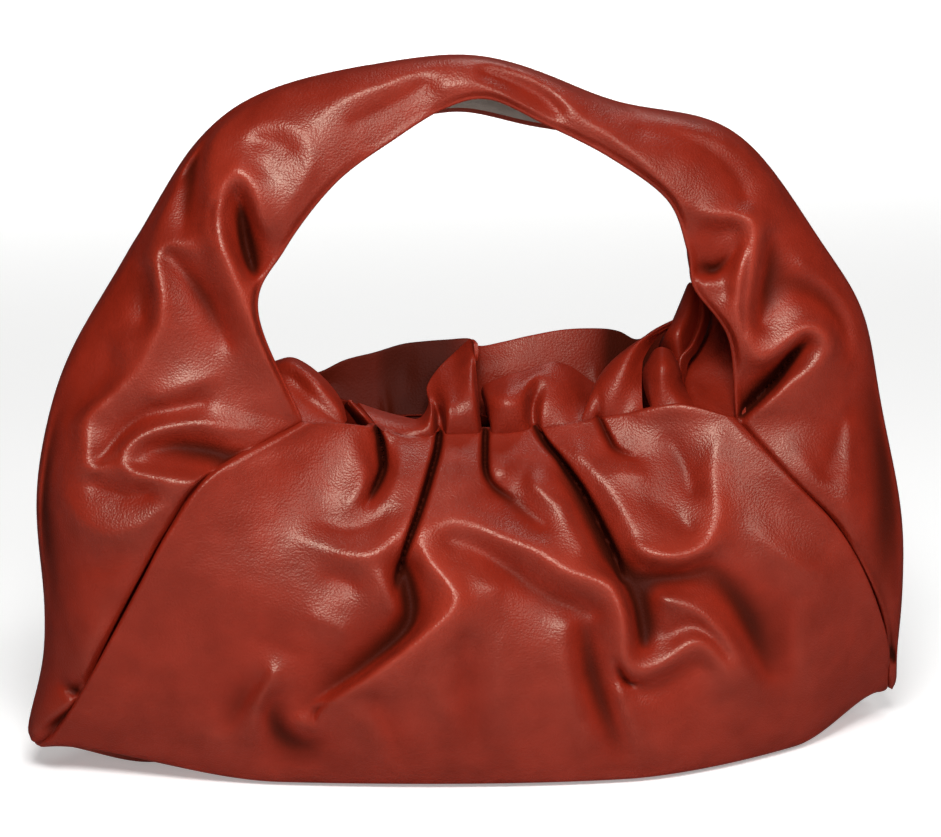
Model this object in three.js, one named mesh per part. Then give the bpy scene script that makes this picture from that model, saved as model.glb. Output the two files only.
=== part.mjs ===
// A slouchy shoulder bag in soft leather: a gathered pouch hung in one wide band, which makes the
// side gussets below the mouth and the shoulder strap above it. A frill stands along each side of
// the mouth, and a suede lining backs the strap.
// Millimetres, +Z up. +X runs along the mouth, the front faces -Y, and the bag stands on z = 0.
import * as THREE from "three";

// Walls and clearances
const LEATHER_WALL = 1.8;
const LINING_WALL = 1.0;
const SEAM_GAP = 0.4;
const LINING_GAP = 0.35;

// Sampling of the walls
const FRONT_COLUMNS = 38;
const BACK_COLUMNS = 23;
const STATION_STEPS = [3, 3, 3, 3, 3, 2, 2]; // rows between each station of the pouch and the next
const HANDLE_STEPS = 3; // sections of the strap between each of its free rows and the next
const STRAP_COLUMNS = 14;
const SECTION_POINTS = 24; // points that draw one section of the strap before it is evenly cut
const FRILL_COLUMNS = 40;
const FRILL_ROWS = 3;
const FOLD_STEPS = 16;

// Stations of the pouch from the mouth down to the seam under the base: the seam to the strap on
// the left, the middle of the panel and the seam on the right. Depth is counted from the bag's
// middle plane, to the front on the front panel and to the back on the back panel. The panel bulges
// most at its peak, a share of the way from left to right as it is faced, and falls off from there
// to the seams by a power, the swell.
const POUCH_STATIONS = [
  { name: "mouth", left: [-82, 36, 164], middle: [17, 149], right: [114, 36, 155], peak: 0.5, swell: 2.5 },
  { name: "yoke", left: [-125, 50, 147], middle: [42, 132], right: [137, 50, 129], peak: 0.5, swell: 2.5 },
  { name: "upper", left: [-144, 50, 123], middle: [62, 108], right: [159, 50, 105], peak: 0.55, swell: 2.4 },
  { name: "belly", left: [-158, 46, 96], middle: [76, 80], right: [175, 46, 77], peak: 0.58, swell: 2.2 },
  { name: "lower", left: [-181, 30, 46], middle: [80, 40], right: [189, 30, 42], peak: 0.62, swell: 2.0 },
  { name: "heel", left: [-190, 13, 22], middle: [76, 9], right: [195, 13, 17], peak: 0.65, swell: 1.7 },
  { name: "sole", left: [-192, 4, 15], middle: [62, 0], right: [197, 4, 11], peak: 0.65, swell: 1.6 },
  { name: "base", left: [-193, 0, 14], middle: [0, 0], right: [197, 0, 10], peak: 0.65, swell: 1.6 },
];
const SEAM_SPLAY = 0.25; // how far the walls turn to the side at the seams
const TOE_DEPTH = 20; // depth of a seam under which its walls turn down
const FLAT_SHARE = 0.6; // middle share of the base that lies on the ground

// The gathered line along the mouth, evenly spaced from the left mouth corner to the right one.
const GATHER_LINE = [
  { depth: 36, z: 164 },
  { depth: 26, z: 159 },
  { depth: 20, z: 151 },
  { depth: 17, z: 150 },
  { depth: 17, z: 149 },
  { depth: 19, z: 152 },
  { depth: 22, z: 156 },
  { depth: 28, z: 162 },
  { depth: 36, z: 155 },
];

// The band's outer edge, from the left toe of the base over the shoulder to the right toe. The
// first and last seven rows run beside the pouch, whose seam is their lip.
const STRAP_SEAM_ROWS = 7;
const STRAP_OUTER = [
  { name: "toe_l", x: -200, y: 0, z: 14 },
  { name: "tip_l", x: -201, y: 1, z: 21 },
  { name: "lower_l", x: -191, y: 2, z: 53 },
  { name: "belly_l", x: -192, y: 2, z: 87 },
  { name: "upper_l", x: -195, y: 2, z: 116 },
  { name: "yoke_l", x: -192, y: 2, z: 145 },
  { name: "mouth_l", x: -180, y: 2, z: 188 },
  { name: "rise_l", x: -156, y: 3, z: 224 },
  { name: "flank_l", x: -134, y: 4, z: 261 },
  { name: "shoulder_l", x: -108, y: 5, z: 295 },
  { name: "arch_l", x: -70, y: 5, z: 309 },
  { name: "crown_l", x: -30, y: 4, z: 315 },
  { name: "crown", x: 1, y: 4, z: 317 },
  { name: "crown_r", x: 35, y: 4, z: 307 },
  { name: "arch_r", x: 71, y: 3, z: 290 },
  { name: "shoulder_r", x: 117, y: 2, z: 282 },
  { name: "flank_r", x: 145, y: 1, z: 251 },
  { name: "rise_r", x: 164, y: 0, z: 221 },
  { name: "bend_r", x: 182, y: 0, z: 197 },
  { name: "mouth_r", x: 189, y: 0, z: 156 },
  { name: "yoke_r", x: 197, y: 0, z: 119 },
  { name: "upper_r", x: 201, y: 0, z: 94 },
  { name: "belly_r", x: 200, y: 0, z: 70 },
  { name: "lower_r", x: 198, y: 0, z: 38 },
  { name: "tip_r", x: 201, y: 0, z: 18 },
  { name: "toe_r", x: 200, y: 0, z: 11 },
];

// The strap's free lips between the mouth corners: the front lip, and how far the back lip hangs
// below it and lies to the right of it.
const HANDLE_LIPS = [
  { name: "rise_l", x: -101, depth: 34, z: 214, drop: 0, shift: 0 },
  { name: "flank_l", x: -89, depth: 33, z: 241, drop: 0, shift: 0 },
  { name: "shoulder_l", x: -66, depth: 31, z: 269, drop: 2, shift: 0 },
  { name: "arch_l", x: -39, depth: 28, z: 287, drop: 6, shift: 0 },
  { name: "crown_l", x: -16, depth: 25, z: 299, drop: 13, shift: 0 },
  { name: "crown", x: 4, depth: 24, z: 302, drop: 15, shift: 0 },
  { name: "crown_r", x: 29, depth: 25, z: 290, drop: 10, shift: 2 },
  { name: "arch_r", x: 57, depth: 28, z: 275, drop: 4, shift: 8 },
  { name: "shoulder_r", x: 83, depth: 31, z: 255, drop: 2, shift: 14 },
  { name: "flank_r", x: 92, depth: 33, z: 232, drop: 0, shift: 16 },
  { name: "rise_r", x: 94, depth: 34, z: 215, drop: 0, shift: 14 },
  { name: "bend_r", x: 104, depth: 35, z: 189, drop: 0, shift: 8 },
];
const STRAP_FULLNESS = 0.75; // power of the strap's section: under 1 is fuller than an ellipse

// Lengths of the band, from row to row of its outer edge. They meet at the mouth corners and the
// shoulders, and each is drawn back there by a share of the stretch between two rows, half a seam.
const BAND_LENGTHS = [
  { name: "left_gusset", from: "toe_l", to: "mouth_l" },
  { name: "strap_left", from: "mouth_l", to: "shoulder_l" },
  { name: "strap_crown", from: "shoulder_l", to: "shoulder_r" },
  { name: "strap_right", from: "shoulder_r", to: "mouth_r" },
  { name: "right_gusset", from: "mouth_r", to: "toe_r" },
];
const CUT_SHARE = 0.005;

// The lining runs between these rows of the strap's outer edge.
const LINED_FROM = "shoulder_l";
const LINED_TO = "shoulder_r";

// Top edges of the frills, from left to right, with the share of the gathered line below each.
const FRONT_FRILL_EDGE = [
  { share: 0.03, x: -88, y: -8, z: 185 },
  { share: 0.12, x: -63, y: -6, z: 167 },
  { share: 0.22, x: -41, y: -4, z: 160 },
  { share: 0.32, x: -19, y: -4, z: 157 },
  { share: 0.37, x: -11, y: -8, z: 182 },
  { share: 0.41, x: 0, y: -9, z: 190 },
  { share: 0.46, x: 6, y: -6, z: 170 },
  { share: 0.56, x: 31, y: -6, z: 176 },
  { share: 0.67, x: 52, y: -6, z: 163 },
  { share: 0.8, x: 73, y: -9, z: 178 },
  { share: 0.97, x: 93, y: -14, z: 191 },
];
const BACK_FRILL_EDGE = [
  { share: 0.03, x: -84, y: 22, z: 180 },
  { share: 0.12, x: -63, y: 26, z: 171 },
  { share: 0.28, x: -26, y: 27, z: 180 },
  { share: 0.45, x: 6, y: 25, z: 182 },
  { share: 0.6, x: 38, y: 26, z: 183 },
  { share: 0.76, x: 66, y: 27, z: 183 },
  { share: 0.88, x: 85, y: 26, z: 177 },
  { share: 0.97, x: 100, y: 22, z: 180 },
];
const FRILL_BOW = 3; // how far a frill bows out between its seam and its edge

// Folds, each along a path of [x, z] points as the bag is seen from the front. A ridge stands out by
// its height and a valley has a negative one. Spread is the width of the flank on the left and on the
// right of the path, walking along it, and ends are the shares of the height where it starts and stops.
const FRONT_FOLDS = [
  {
    name: "centre_slit", height: -9, spread: [7, 9], ends: [1, 0.3],
    path: [[-17, 149], [-23, 137], [-32, 122], [-45, 103]],
  },
  {
    name: "centre_tuck", height: -6, spread: [7, 7], ends: [1, 0.2],
    path: [[4, 148], [2, 141], [0, 132]],
  },
  {
    name: "long_ridge", height: 8, spread: [9, 14], ends: [0.4, 0.2],
    path: [[-7, 118], [-31, 116], [-24, 92], [-57, 62], [-84, 40]],
  },
  {
    name: "cross_ridge", height: 7, spread: [14, 9], ends: [0.4, 0.5],
    path: [[-7, 118], [37, 98], [52, 78], [56, 56]],
  },
  {
    name: "hook_ridge", height: 7, spread: [9, 12], ends: [0.5, 0.1],
    path: [[56, 55], [87, 64], [98, 57], [110, 40]],
  },
  {
    name: "right_valley", height: -9, spread: [9, 9], ends: [1, 0.4],
    path: [[27, 147], [37, 134], [46, 117], [60, 80]],
  },
  {
    name: "cheek_ridge", height: 7, spread: [12, 12], ends: [0.5, 0.2],
    path: [[107, 147], [101, 120], [93, 105], [63, 105]],
  },
  {
    name: "skirt_valley", height: -5, spread: [12, 12], ends: [0.3, 0.3],
    path: [[37, 72], [35, 49], [46, 18]],
  },
  {
    name: "left_pocket", height: -7, spread: [8, 9], ends: [1, 0.2],
    path: [[-47, 147], [-47, 136], [-58, 126]],
  },
  {
    name: "left_fan", height: 4, spread: [9, 9], ends: [0.8, 0.1],
    path: [[-64, 150], [-74, 136], [-92, 122]],
  },
  {
    name: "left_swag", height: 5, spread: [9, 12], ends: [0.1, 0.4],
    path: [[-82, 114], [-62, 107], [-36, 123]],
  },
  {
    name: "left_dimple", height: 4, spread: [10, 10], ends: [0.2, 0.2],
    path: [[-118, 27], [-112, 46], [-96, 56]],
  },
];
const BACK_FOLDS = [
  {
    name: "centre_slit", height: -8, spread: [8, 9], ends: [1, 0.2],
    path: [[12, 149], [16, 134], [8, 108]],
  },
  {
    name: "left_slit", height: -7, spread: [8, 10], ends: [1, 0.2],
    path: [[-32, 150], [-40, 132], [-58, 108]],
  },
  {
    name: "right_slit", height: -7, spread: [8, 10], ends: [1, 0.2],
    path: [[62, 153], [70, 134], [90, 112]],
  },
  {
    name: "left_swag", height: 7, spread: [14, 12], ends: [0.1, 0.2],
    path: [[-110, 104], [-70, 74], [-20, 82]],
  },
  {
    name: "right_swag", height: 7, spread: [14, 12], ends: [0.2, 0.1],
    path: [[30, 96], [70, 66], [128, 82]],
  },
  {
    name: "skirt_valley", height: -4, spread: [13, 13], ends: [0.2, 0.2],
    path: [[-8, 62], [-14, 40], [-4, 16]],
  },
];
const STRAP_FOLDS = [
  {
    name: "long_ridge", height: 7, spread: [8, 13], ends: [0.2, 0.6],
    path: [[-114, 288], [-118, 250], [-107, 223], [-92, 182]],
  },
  {
    name: "arch_ridge", height: 5, spread: [9, 9], ends: [0.3, 0.2],
    path: [[-118, 249], [-109, 275], [-96, 248]],
  },
  {
    name: "arch_valley", height: -8, spread: [8, 8], ends: [0.5, 0.4],
    path: [[-108, 264], [-105, 228]],
  },
  {
    name: "outer_ridge", height: 7, spread: [12, 12], ends: [0.4, 0.2],
    path: [[-143, 238], [-144, 206], [-176, 167]],
  },
  {
    name: "inner_ridge", height: 5, spread: [10, 10], ends: [0.3, 0.3],
    path: [[-143, 239], [-131, 242], [-106, 203]],
  },
  {
    name: "inner_valley", height: -6, spread: [9, 9], ends: [0.4, 0.3],
    path: [[-130, 232], [-117, 208]],
  },
  {
    name: "hip_valley", height: -8, spread: [12, 12], ends: [0.3, 0.2],
    path: [[-178, 162], [-174, 148], [-147, 166]],
  },
  {
    name: "hip_ridge", height: 7, spread: [12, 12], ends: [0.3, 0.3],
    path: [[-161, 158], [-155, 148], [-128, 148]],
  },
  {
    name: "right_shelf", height: 5, spread: [10, 10], ends: [0.3, 0.8],
    path: [[95, 250], [116, 246], [126, 238]],
  },
  {
    name: "right_ridge", height: 8, spread: [12, 10], ends: [0.8, 0.8],
    path: [[125, 239], [117, 208], [122, 183]],
  },
  {
    name: "right_hook", height: 6, spread: [10, 10], ends: [0.6, 0.3],
    path: [[123, 181], [146, 192], [160, 184]],
  },
  {
    name: "right_valley", height: -7, spread: [10, 10], ends: [0.2, 0.5],
    path: [[158, 190], [140, 178], [120, 166]],
  },
  {
    name: "crown_ridge", height: 3, spread: [8, 8], ends: [0.2, 0.6],
    path: [[-9, 308], [25, 299], [65, 277], [92, 250]],
  },
];
const FOLD_CREST = 2; // radius that rounds a fold's crest
const FOLD_TAPER = 0.35; // share of a fold's length over which it swells from its end
const FOLD_MARGIN = 0.07; // share of a wall's width over which folds die away at its edge
const FOLD_CLEAR = [6, 26]; // heights over the ground between which folds begin
const STRAP_EDGE_FADE = 0.4; // share of the strap's half width over which folds die at its outer edge
const STRAP_BACK_FOLDS = 0.6; // height of the strap's folds at the back, as a share of the front's

const FRONT = -1;
const BACK = 1;
const { clamp, smoothstep } = THREE.MathUtils;

function mix(a, b, share) {
  return a + (b - a) * share;
}

function curveThrough(points) {
  return new THREE.CatmullRomCurve3(points, false, "catmullrom", 0.5);
}

// The gathered line on one side of the bag, as a curve from left to right.
function gatherCurve(side) {
  const first = POUCH_STATIONS[0];
  const last = GATHER_LINE.length - 1;
  return curveThrough(
    GATHER_LINE.map(({ depth, z }, i) => {
      const x = mix(first.left[0], first.right[0], i / last);
      return new THREE.Vector3(x, side * depth, z);
    }),
  );
}

// A point of one station, at a share of the way from the left seam to the right one.
function stationPoint({ left, middle, right, peak, swell }, side, share) {
  const top = side === FRONT ? peak : 1 - peak;
  const swing = share < top ? (top - share) / top : (share - top) / (1 - top);
  const settled = 1 - THREE.MathUtils.smoothstep(swing, FLAT_SHARE, 1);
  const seamDepth = mix(left[1], right[1], share);
  const seamHeight = mix(left[2], right[2], share);
  return new THREE.Vector3(
    mix(left[0], right[0], share),
    side * mix(seamDepth, middle[0], 1 - swing ** swell),
    mix(seamHeight, middle[1], settled),
  );
}

// A rib of the panel, from the gathered line down to the seam under the base.
function panelRib(side, share) {
  const [, ...lower] = POUCH_STATIONS;
  const top = gatherCurve(side).getPoint(share);
  return curveThrough([top, ...lower.map((row) => stationPoint(row, side, share))]);
}

// Places from 0 to the number of stretches, with each stretch cut into its own steps.
function places(stepsOfStretches) {
  const cuts = stepsOfStretches.flatMap((steps, i) =>
    Array.from({ length: steps }, (_, k) => i + k / steps),
  );
  return [...cuts, stepsOfStretches.length];
}

// Outward direction of both walls where a panel is sewn to the strap: to the front or the back on
// the way down, and turning under the base at the toe.
function seamOutward({ x, y }) {
  const facing = Math.min(Math.abs(y) / TOE_DEPTH, 1);
  return new THREE.Vector3(SEAM_SPLAY * Math.sign(x), Math.sign(y) * facing, facing - 1).normalize();
}

// Unit normals of a grid of points, from the differences between its neighbours.
function gridNormals(grid, outwardSign) {
  const lastRow = grid.length - 1;
  const lastColumn = grid[0].length - 1;
  return grid.map((row, i) =>
    row.map((_, j) => {
      const down = grid[Math.min(i + 1, lastRow)][j].clone().sub(grid[Math.max(i - 1, 0)][j]);
      const along = grid[i][Math.min(j + 1, lastColumn)].clone().sub(grid[i][Math.max(j - 1, 0)]);
      return along.cross(down).multiplyScalar(outwardSign).normalize();
    }),
  );
}

// The folds of a table with the points of their paths drawn.
function drawFolds(rows) {
  return rows.map((row) => {
    const path = new THREE.SplineCurve(row.path.map(([x, z]) => new THREE.Vector2(x, z)));
    return { ...row, points: path.getPoints(FOLD_STEPS) };
  });
}

// Height of one fold at a place seen from the front.
function foldHeight({ points, height, spread, ends }, place) {
  let distance = Infinity;
  let along = 0;
  let flank = spread[0];
  for (let k = 0; k < FOLD_STEPS; k++) {
    const run = points[k + 1].clone().sub(points[k]);
    const offset = place.clone().sub(points[k]);
    const onLeft = run.cross(offset) > 0;
    const share = clamp(offset.dot(run) / run.lengthSq(), 0, 1);
    const away = offset.addScaledVector(run, -share).length();
    if (away >= distance) continue;
    distance = away;
    along = (k + share) / FOLD_STEPS;
    flank = onLeft ? spread[0] : spread[1];
  }
  const swelling = mix(ends[0], 1, smoothstep(along, 0, FOLD_TAPER));
  const dying = mix(ends[1], 1, smoothstep(1 - along, 0, FOLD_TAPER));
  return height * swelling * dying * Math.exp((FOLD_CREST - Math.hypot(distance, FOLD_CREST)) / flank);
}

// Height of all folds of a wall at one of its points, dying away at its edges and near the ground.
function relief(folds, { x, z }, edgeShare) {
  const place = new THREE.Vector2(x, z);
  const total = folds.reduce((sum, fold) => sum + foldHeight(fold, place), 0);
  return total * smoothstep(edgeShare, 0, FOLD_MARGIN) * smoothstep(z, ...FOLD_CLEAR);
}

const DRAWN_FOLDS = {
  [FRONT]: drawFolds(FRONT_FOLDS),
  [BACK]: drawFolds(BACK_FOLDS),
  strap: drawFolds(STRAP_FOLDS),
};

// A closed wall: a grid of outer points, the same grid moved inwards, and the four rims.
function wall(name, outer, outward, thickness, material) {
  const rows = outer.length;
  const columns = outer[0].length;
  const lastRow = rows - 1;
  const lastColumn = columns - 1;
  const inner = outer.map((row, i) =>
    row.map((p, j) => p.clone().addScaledVector(outward[i][j], -thickness)),
  );
  const positions = [...outer, ...inner].flat().flatMap((p) => [p.x, p.y, p.z]);
  const out = (i, j) => i * columns + j;
  const inn = (i, j) => (rows + i) * columns + j;
  const index = [];
  const quad = (a, b, c, d) => index.push(a, b, c, a, c, d);
  for (let i = 0; i < lastRow; i++) {
    for (let j = 0; j < lastColumn; j++) {
      quad(out(i, j), out(i, j + 1), out(i + 1, j + 1), out(i + 1, j));
      quad(inn(i, j), inn(i + 1, j), inn(i + 1, j + 1), inn(i, j + 1));
    }
  }
  for (let j = 0; j < lastColumn; j++) {
    quad(out(0, j), inn(0, j), inn(0, j + 1), out(0, j + 1));
    quad(out(lastRow, j), out(lastRow, j + 1), inn(lastRow, j + 1), inn(lastRow, j));
  }
  for (let i = 0; i < lastRow; i++) {
    quad(out(i, 0), out(i + 1, 0), inn(i + 1, 0), inn(i, 0));
    quad(out(i, lastColumn), inn(i, lastColumn), inn(i + 1, lastColumn), out(i + 1, lastColumn));
  }
  const geometry = new THREE.BufferGeometry();
  geometry.setAttribute("position", new THREE.Float32BufferAttribute(positions, 3));
  geometry.setIndex(enclosedVolume(positions, index) < 0 ? index.reverse() : index);
  const mesh = new THREE.Mesh(geometry, material);
  mesh.name = name;
  return mesh;
}

function enclosedVolume(positions, index) {
  const corner = (k) => new THREE.Vector3().fromArray(positions, 3 * index[k]);
  let volume = 0;
  for (let k = 0; k < index.length; k += 3) {
    volume += corner(k).dot(corner(k + 1).cross(corner(k + 2))) / 6;
  }
  return volume;
}

// One panel of the pouch, from the gathered line down the side and half way under the base.
function panel(name, side, columns, material) {
  const mouth = POUCH_STATIONS[0];
  const edge = SEAM_GAP / (mouth.right[0] - mouth.left[0]);
  const shares = Array.from({ length: columns + 1 }, (_, j) => mix(edge, 1 - edge, j / columns));
  const ribs = shares.map((share) => panelRib(side, share));
  const smooth = places(STATION_STEPS).map((place) =>
    ribs.map((rib) => {
      const p = rib.getPoint(place / STATION_STEPS.length);
      p.z = Math.max(p.z, 0);
      p.y = side * Math.max(side * p.y, SEAM_GAP / 2);
      return p;
    }),
  );
  const panelOutward = (grid) => {
    const outward = gridNormals(grid, side);
    outward[0] = outward[0].map(() => new THREE.Vector3(0, side, 0));
    return outward;
  };
  const swell = panelOutward(smooth);
  const outer = smooth.map((row, i) =>
    row.map((p, j) => {
      const edgeShare = Math.min(j, columns - j) / columns;
      return p.clone().addScaledVector(swell[i][j], relief(DRAWN_FOLDS[side], p, edgeShare));
    }),
  );
  const outward = panelOutward(outer);
  outward.forEach((row, i) => {
    for (const j of [0, columns]) row[j] = seamOutward(outer[i][j]);
  });
  return wall(name, outer, outward, LEATHER_WALL, material);
}

// The strap's front and back lips at a place along it, counted in rows of STRAP_OUTER.
function strapLips(place) {
  const seamEnd = STRAP_SEAM_ROWS - 1;
  const handleEnd = STRAP_OUTER.length - STRAP_SEAM_ROWS;
  const stretches = POUCH_STATIONS.length - 1;
  if (place <= seamEnd || place >= handleEnd) {
    const share = place <= seamEnd ? (seamEnd - place) / stretches : (place - handleEnd) / stretches;
    return [FRONT, BACK].map((side) => panelRib(side, place <= seamEnd ? 0 : 1).getPoint(share));
  }
  const { left, right } = POUCH_STATIONS[0];
  const along = (place - seamEnd) / (handleEnd - seamEnd);
  const frontLip = ({ x, depth, z }) => new THREE.Vector3(x, -depth, z);
  const backLip = ({ x, depth, z, drop, shift }) => new THREE.Vector3(x + shift, depth, z - drop);
  return [FRONT, BACK].map((side) => {
    const corner = ([x, depth, z]) => new THREE.Vector3(x, side * depth, z);
    const free = HANDLE_LIPS.map(side === FRONT ? frontLip : backLip);
    return curveThrough([corner(left), ...free, corner(right)]).getPoint(along);
  });
}

function rowOf(wanted) {
  return STRAP_OUTER.findIndex(({ name }) => name === wanted);
}

// Places along the band where it is cut into sections: those of the panels beside their seams, and
// two where one length ends and the next begins.
function strapPlaces() {
  const seam = STATION_STEPS.slice(0, STRAP_SEAM_ROWS - 1);
  const handle = Array(STRAP_OUTER.length + 1 - 2 * STRAP_SEAM_ROWS).fill(HANDLE_STEPS);
  const ends = BAND_LENGTHS.slice(1).map(({ from }) => rowOf(from));
  return places([...seam.toReversed(), ...handle, ...seam]).flatMap((place) =>
    ends.includes(place) ? [place - CUT_SHARE, place + CUT_SHARE] : [place],
  );
}

// One section of the strap: a channel from the front lip round the outer edge to the back lip.
function strapSection(place) {
  const spine = curveThrough(STRAP_OUTER.map(({ x, y, z }) => new THREE.Vector3(x, y, z)));
  const outermost = spine.getPoint(place / (STRAP_OUTER.length - 1));
  const [front, back] = strapLips(place);
  const reach = outermost.sub(front.clone().lerp(back, 0.5));
  const drawn = Array.from({ length: SECTION_POINTS + 1 }, (_, k) => {
    const turn = (k / SECTION_POINTS - 0.5) * Math.PI;
    const across = (1 + Math.sin(turn)) / 2;
    const out = Math.max(Math.cos(turn), 0) ** STRAP_FULLNESS;
    return front.clone().lerp(back, across).addScaledVector(reach, out);
  });
  return curveThrough(drawn).getSpacedPoints(STRAP_COLUMNS);
}

// Height of the strap's folds at one of its points: they fade at the lips and round the outer edge.
function strapRelief(point, column) {
  const across = (2 * column) / STRAP_COLUMNS - 1;
  const fromEdge = (1 - Math.abs(across)) / 2;
  const share = across > 0 ? STRAP_BACK_FOLDS : 1;
  const rounded = smoothstep(Math.abs(across), 0, STRAP_EDGE_FADE);
  return share * rounded * relief(DRAWN_FOLDS.strap, point, fromEdge);
}

// Unit normals of the band. The two sections where its lengths meet share theirs and stay apart.
function bandNormals(grid, cuts) {
  const outward = gridNormals(grid, -1);
  for (const { from } of BAND_LENGTHS.slice(1)) {
    const after = cuts.indexOf(rowOf(from) + CUT_SHARE);
    const shared = outward[after].map((n, j) => n.clone().add(outward[after - 1][j]).normalize());
    outward.fill(shared, after - 1, after + 1);
  }
  return outward;
}

function strapGrid() {
  const cuts = strapPlaces();
  const smooth = cuts.map((place) => strapSection(place));
  const swell = bandNormals(smooth, cuts);
  const grid = smooth.map((row, i) =>
    row.map((p, j) => p.clone().addScaledVector(swell[i][j], strapRelief(p, j))),
  );
  const outward = bandNormals(grid, cuts);
  const lastSeam = STRAP_SEAM_ROWS - 1 + CUT_SHARE;
  cuts.forEach((place, i) => {
    if (place > lastSeam && place < STRAP_OUTER.length - 1 - lastSeam) return;
    for (const j of [0, STRAP_COLUMNS]) outward[i][j] = seamOutward(grid[i][j]);
  });
  return { cuts, grid, outward };
}

// Numbers of the sections that lie between two rows of the band's outer edge.
function sectionsBetween(cuts, from, to) {
  return cuts.map((_, i) => i).filter((i) => cuts[i] >= rowOf(from) && cuts[i] <= rowOf(to));
}

// The band's lengths, from the left gusset over the strap to the right gusset.
function band(material) {
  const { cuts, grid, outward } = strapGrid();
  return BAND_LENGTHS.map(({ name, from, to }) => {
    const kept = sectionsBetween(cuts, from, to);
    const outer = kept.map((i) => grid[i]);
    const outerNormals = kept.map((i) => outward[i]);
    return wall(name, outer, outerNormals, LEATHER_WALL, material);
  });
}

// The suede lining of the strap, held inside it along the shoulder.
function strapLining(name, material) {
  const { cuts, grid, outward } = strapGrid();
  const kept = sectionsBetween(cuts, LINED_FROM, LINED_TO);
  const depth = LEATHER_WALL + LINING_GAP;
  const outer = kept.map((i) =>
    grid[i].slice(1, -1).map((p, j) => p.clone().addScaledVector(outward[i][j + 1], -depth)),
  );
  const outerNormals = kept.map((i) => outward[i].slice(1, -1));
  return wall(name, outer, outerNormals, LINING_WALL, material);
}

// A frill: it is sewn to the gathered line and rises to its own free edge.
function frill(name, side, edgeRows, material) {
  const gathered = gatherCurve(side);
  const first = edgeRows[0].share;
  const last = edgeRows[edgeRows.length - 1].share;
  const edge = curveThrough(edgeRows.map(({ x, y, z }) => new THREE.Vector3(x, y, z)));
  const edgeAt = (share) => {
    const next = Math.max(1, edgeRows.findIndex((row) => row.share >= share - 1e-9));
    const [a, b] = [edgeRows[next - 1].share, edgeRows[next].share];
    return edge.getPoint((next - 1 + (share - a) / (b - a)) / (edgeRows.length - 1));
  };
  const outer = Array.from({ length: FRILL_ROWS + 1 }, (_, i) =>
    Array.from({ length: FRILL_COLUMNS + 1 }, (_, j) => {
      const share = mix(first, last, j / FRILL_COLUMNS);
      const seam = gathered.getPoint(share);
      seam.y += side * relief(DRAWN_FOLDS[side], seam, Math.min(share, 1 - share));
      seam.z += SEAM_GAP;
      const rise = 1 - i / FRILL_ROWS;
      const p = seam.lerp(edgeAt(share), rise);
      p.y += side * FRILL_BOW * Math.sin(Math.PI * rise);
      return p;
    }),
  );
  const outward = gridNormals(outer, side);
  outward[FRILL_ROWS] = outward[FRILL_ROWS].map(() => new THREE.Vector3(0, side, 0));
  return wall(name, outer, outward, LEATHER_WALL, material);
}

const leather = new THREE.MeshStandardMaterial({ color: 0x8f2a1c, roughness: 0.42, metalness: 0 });
leather.name = "leather";
const suede = new THREE.MeshStandardMaterial({ color: 0x7d746c, roughness: 0.9, metalness: 0 });
suede.name = "suede";

const bag = new THREE.Group();
bag.name = "shoulder_bag";
bag.add(
  panel("front_panel", FRONT, FRONT_COLUMNS, leather),
  panel("back_panel", BACK, BACK_COLUMNS, leather),
  ...band(leather),
  strapLining("strap_lining", suede),
  frill("front_frill", FRONT, FRONT_FRILL_EDGE, leather),
  frill("back_frill", BACK, BACK_FRILL_EDGE, leather),
);

export default bag;
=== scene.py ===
"""A slouchy shoulder bag in soft rust-red leather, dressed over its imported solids.

Shapes are worked out in millimetres in the bag's own frame: +X along the mouth, the front faces -Y and
+Z is up, with the ground at z = 0. A fold is a line with a height at each of its points, and the leather
is stretched between such lines like a membrane. Lines of the front are given in pixels of the photo.
"""

from __future__ import annotations

import logging
import math
import sys
from dataclasses import dataclass, field
from enum import Enum
from typing import Any, Protocol, Sequence

import bmesh
import bpy
import numpy as np
from mathutils import Euler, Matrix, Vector


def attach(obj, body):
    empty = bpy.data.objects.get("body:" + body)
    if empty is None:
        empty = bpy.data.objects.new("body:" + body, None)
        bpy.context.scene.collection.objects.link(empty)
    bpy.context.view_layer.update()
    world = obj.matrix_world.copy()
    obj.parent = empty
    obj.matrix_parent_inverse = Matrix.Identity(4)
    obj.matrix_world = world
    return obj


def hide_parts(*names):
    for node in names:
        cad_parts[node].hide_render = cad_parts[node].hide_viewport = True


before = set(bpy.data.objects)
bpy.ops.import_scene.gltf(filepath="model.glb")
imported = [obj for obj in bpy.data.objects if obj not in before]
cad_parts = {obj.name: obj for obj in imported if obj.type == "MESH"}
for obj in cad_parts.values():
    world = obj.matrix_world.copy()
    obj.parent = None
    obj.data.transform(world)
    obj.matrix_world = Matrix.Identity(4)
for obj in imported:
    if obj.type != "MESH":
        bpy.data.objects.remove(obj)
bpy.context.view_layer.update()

LOG = logging.getLogger("shoulder_bag")
MILLIMETRE = 0.001
BODY = "root"
# Per-point fold height, from which the leather paints shade in hollows and a highlight on crests
FOLD_AND_SHADE_ATTRIBUTE = "fold"

# Walls and gaps in millimetres
LEATHER_WALL = 1.8
LINING_WALL = 1.0
LINING_GAP = 0.35
SEAM_GAP = 0.4

# Opposite corners of the pictures that folds are drawn on: pixels of the photo, or x and z in millimetres
PHOTO_AREA = ((0, 0), (940, 836))
BACK_AREA = ((-210, -10), (210, 200))
STRAP_BACK_AREA = ((-215, -10), (215, 330))

# Colour sockets of a Mix node
MIX_FIRST = 6
MIX_SECOND = 7
MIX_RESULT = 2

RIM_STEPS = 5
SHARP_ANGLE = math.radians(80)
SMOOTHING_REACH = 3
NEIGHBOURS = 4
TINY = 1e-9
JUST_INSIDE = 1.001
WHITE = (1.0, 1.0, 1.0, 1.0)

Colour = tuple[float, float, float, float]
Point = tuple[float, float, float]
Span = tuple[float, float]
Fold = tuple[Point, ...]


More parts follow.
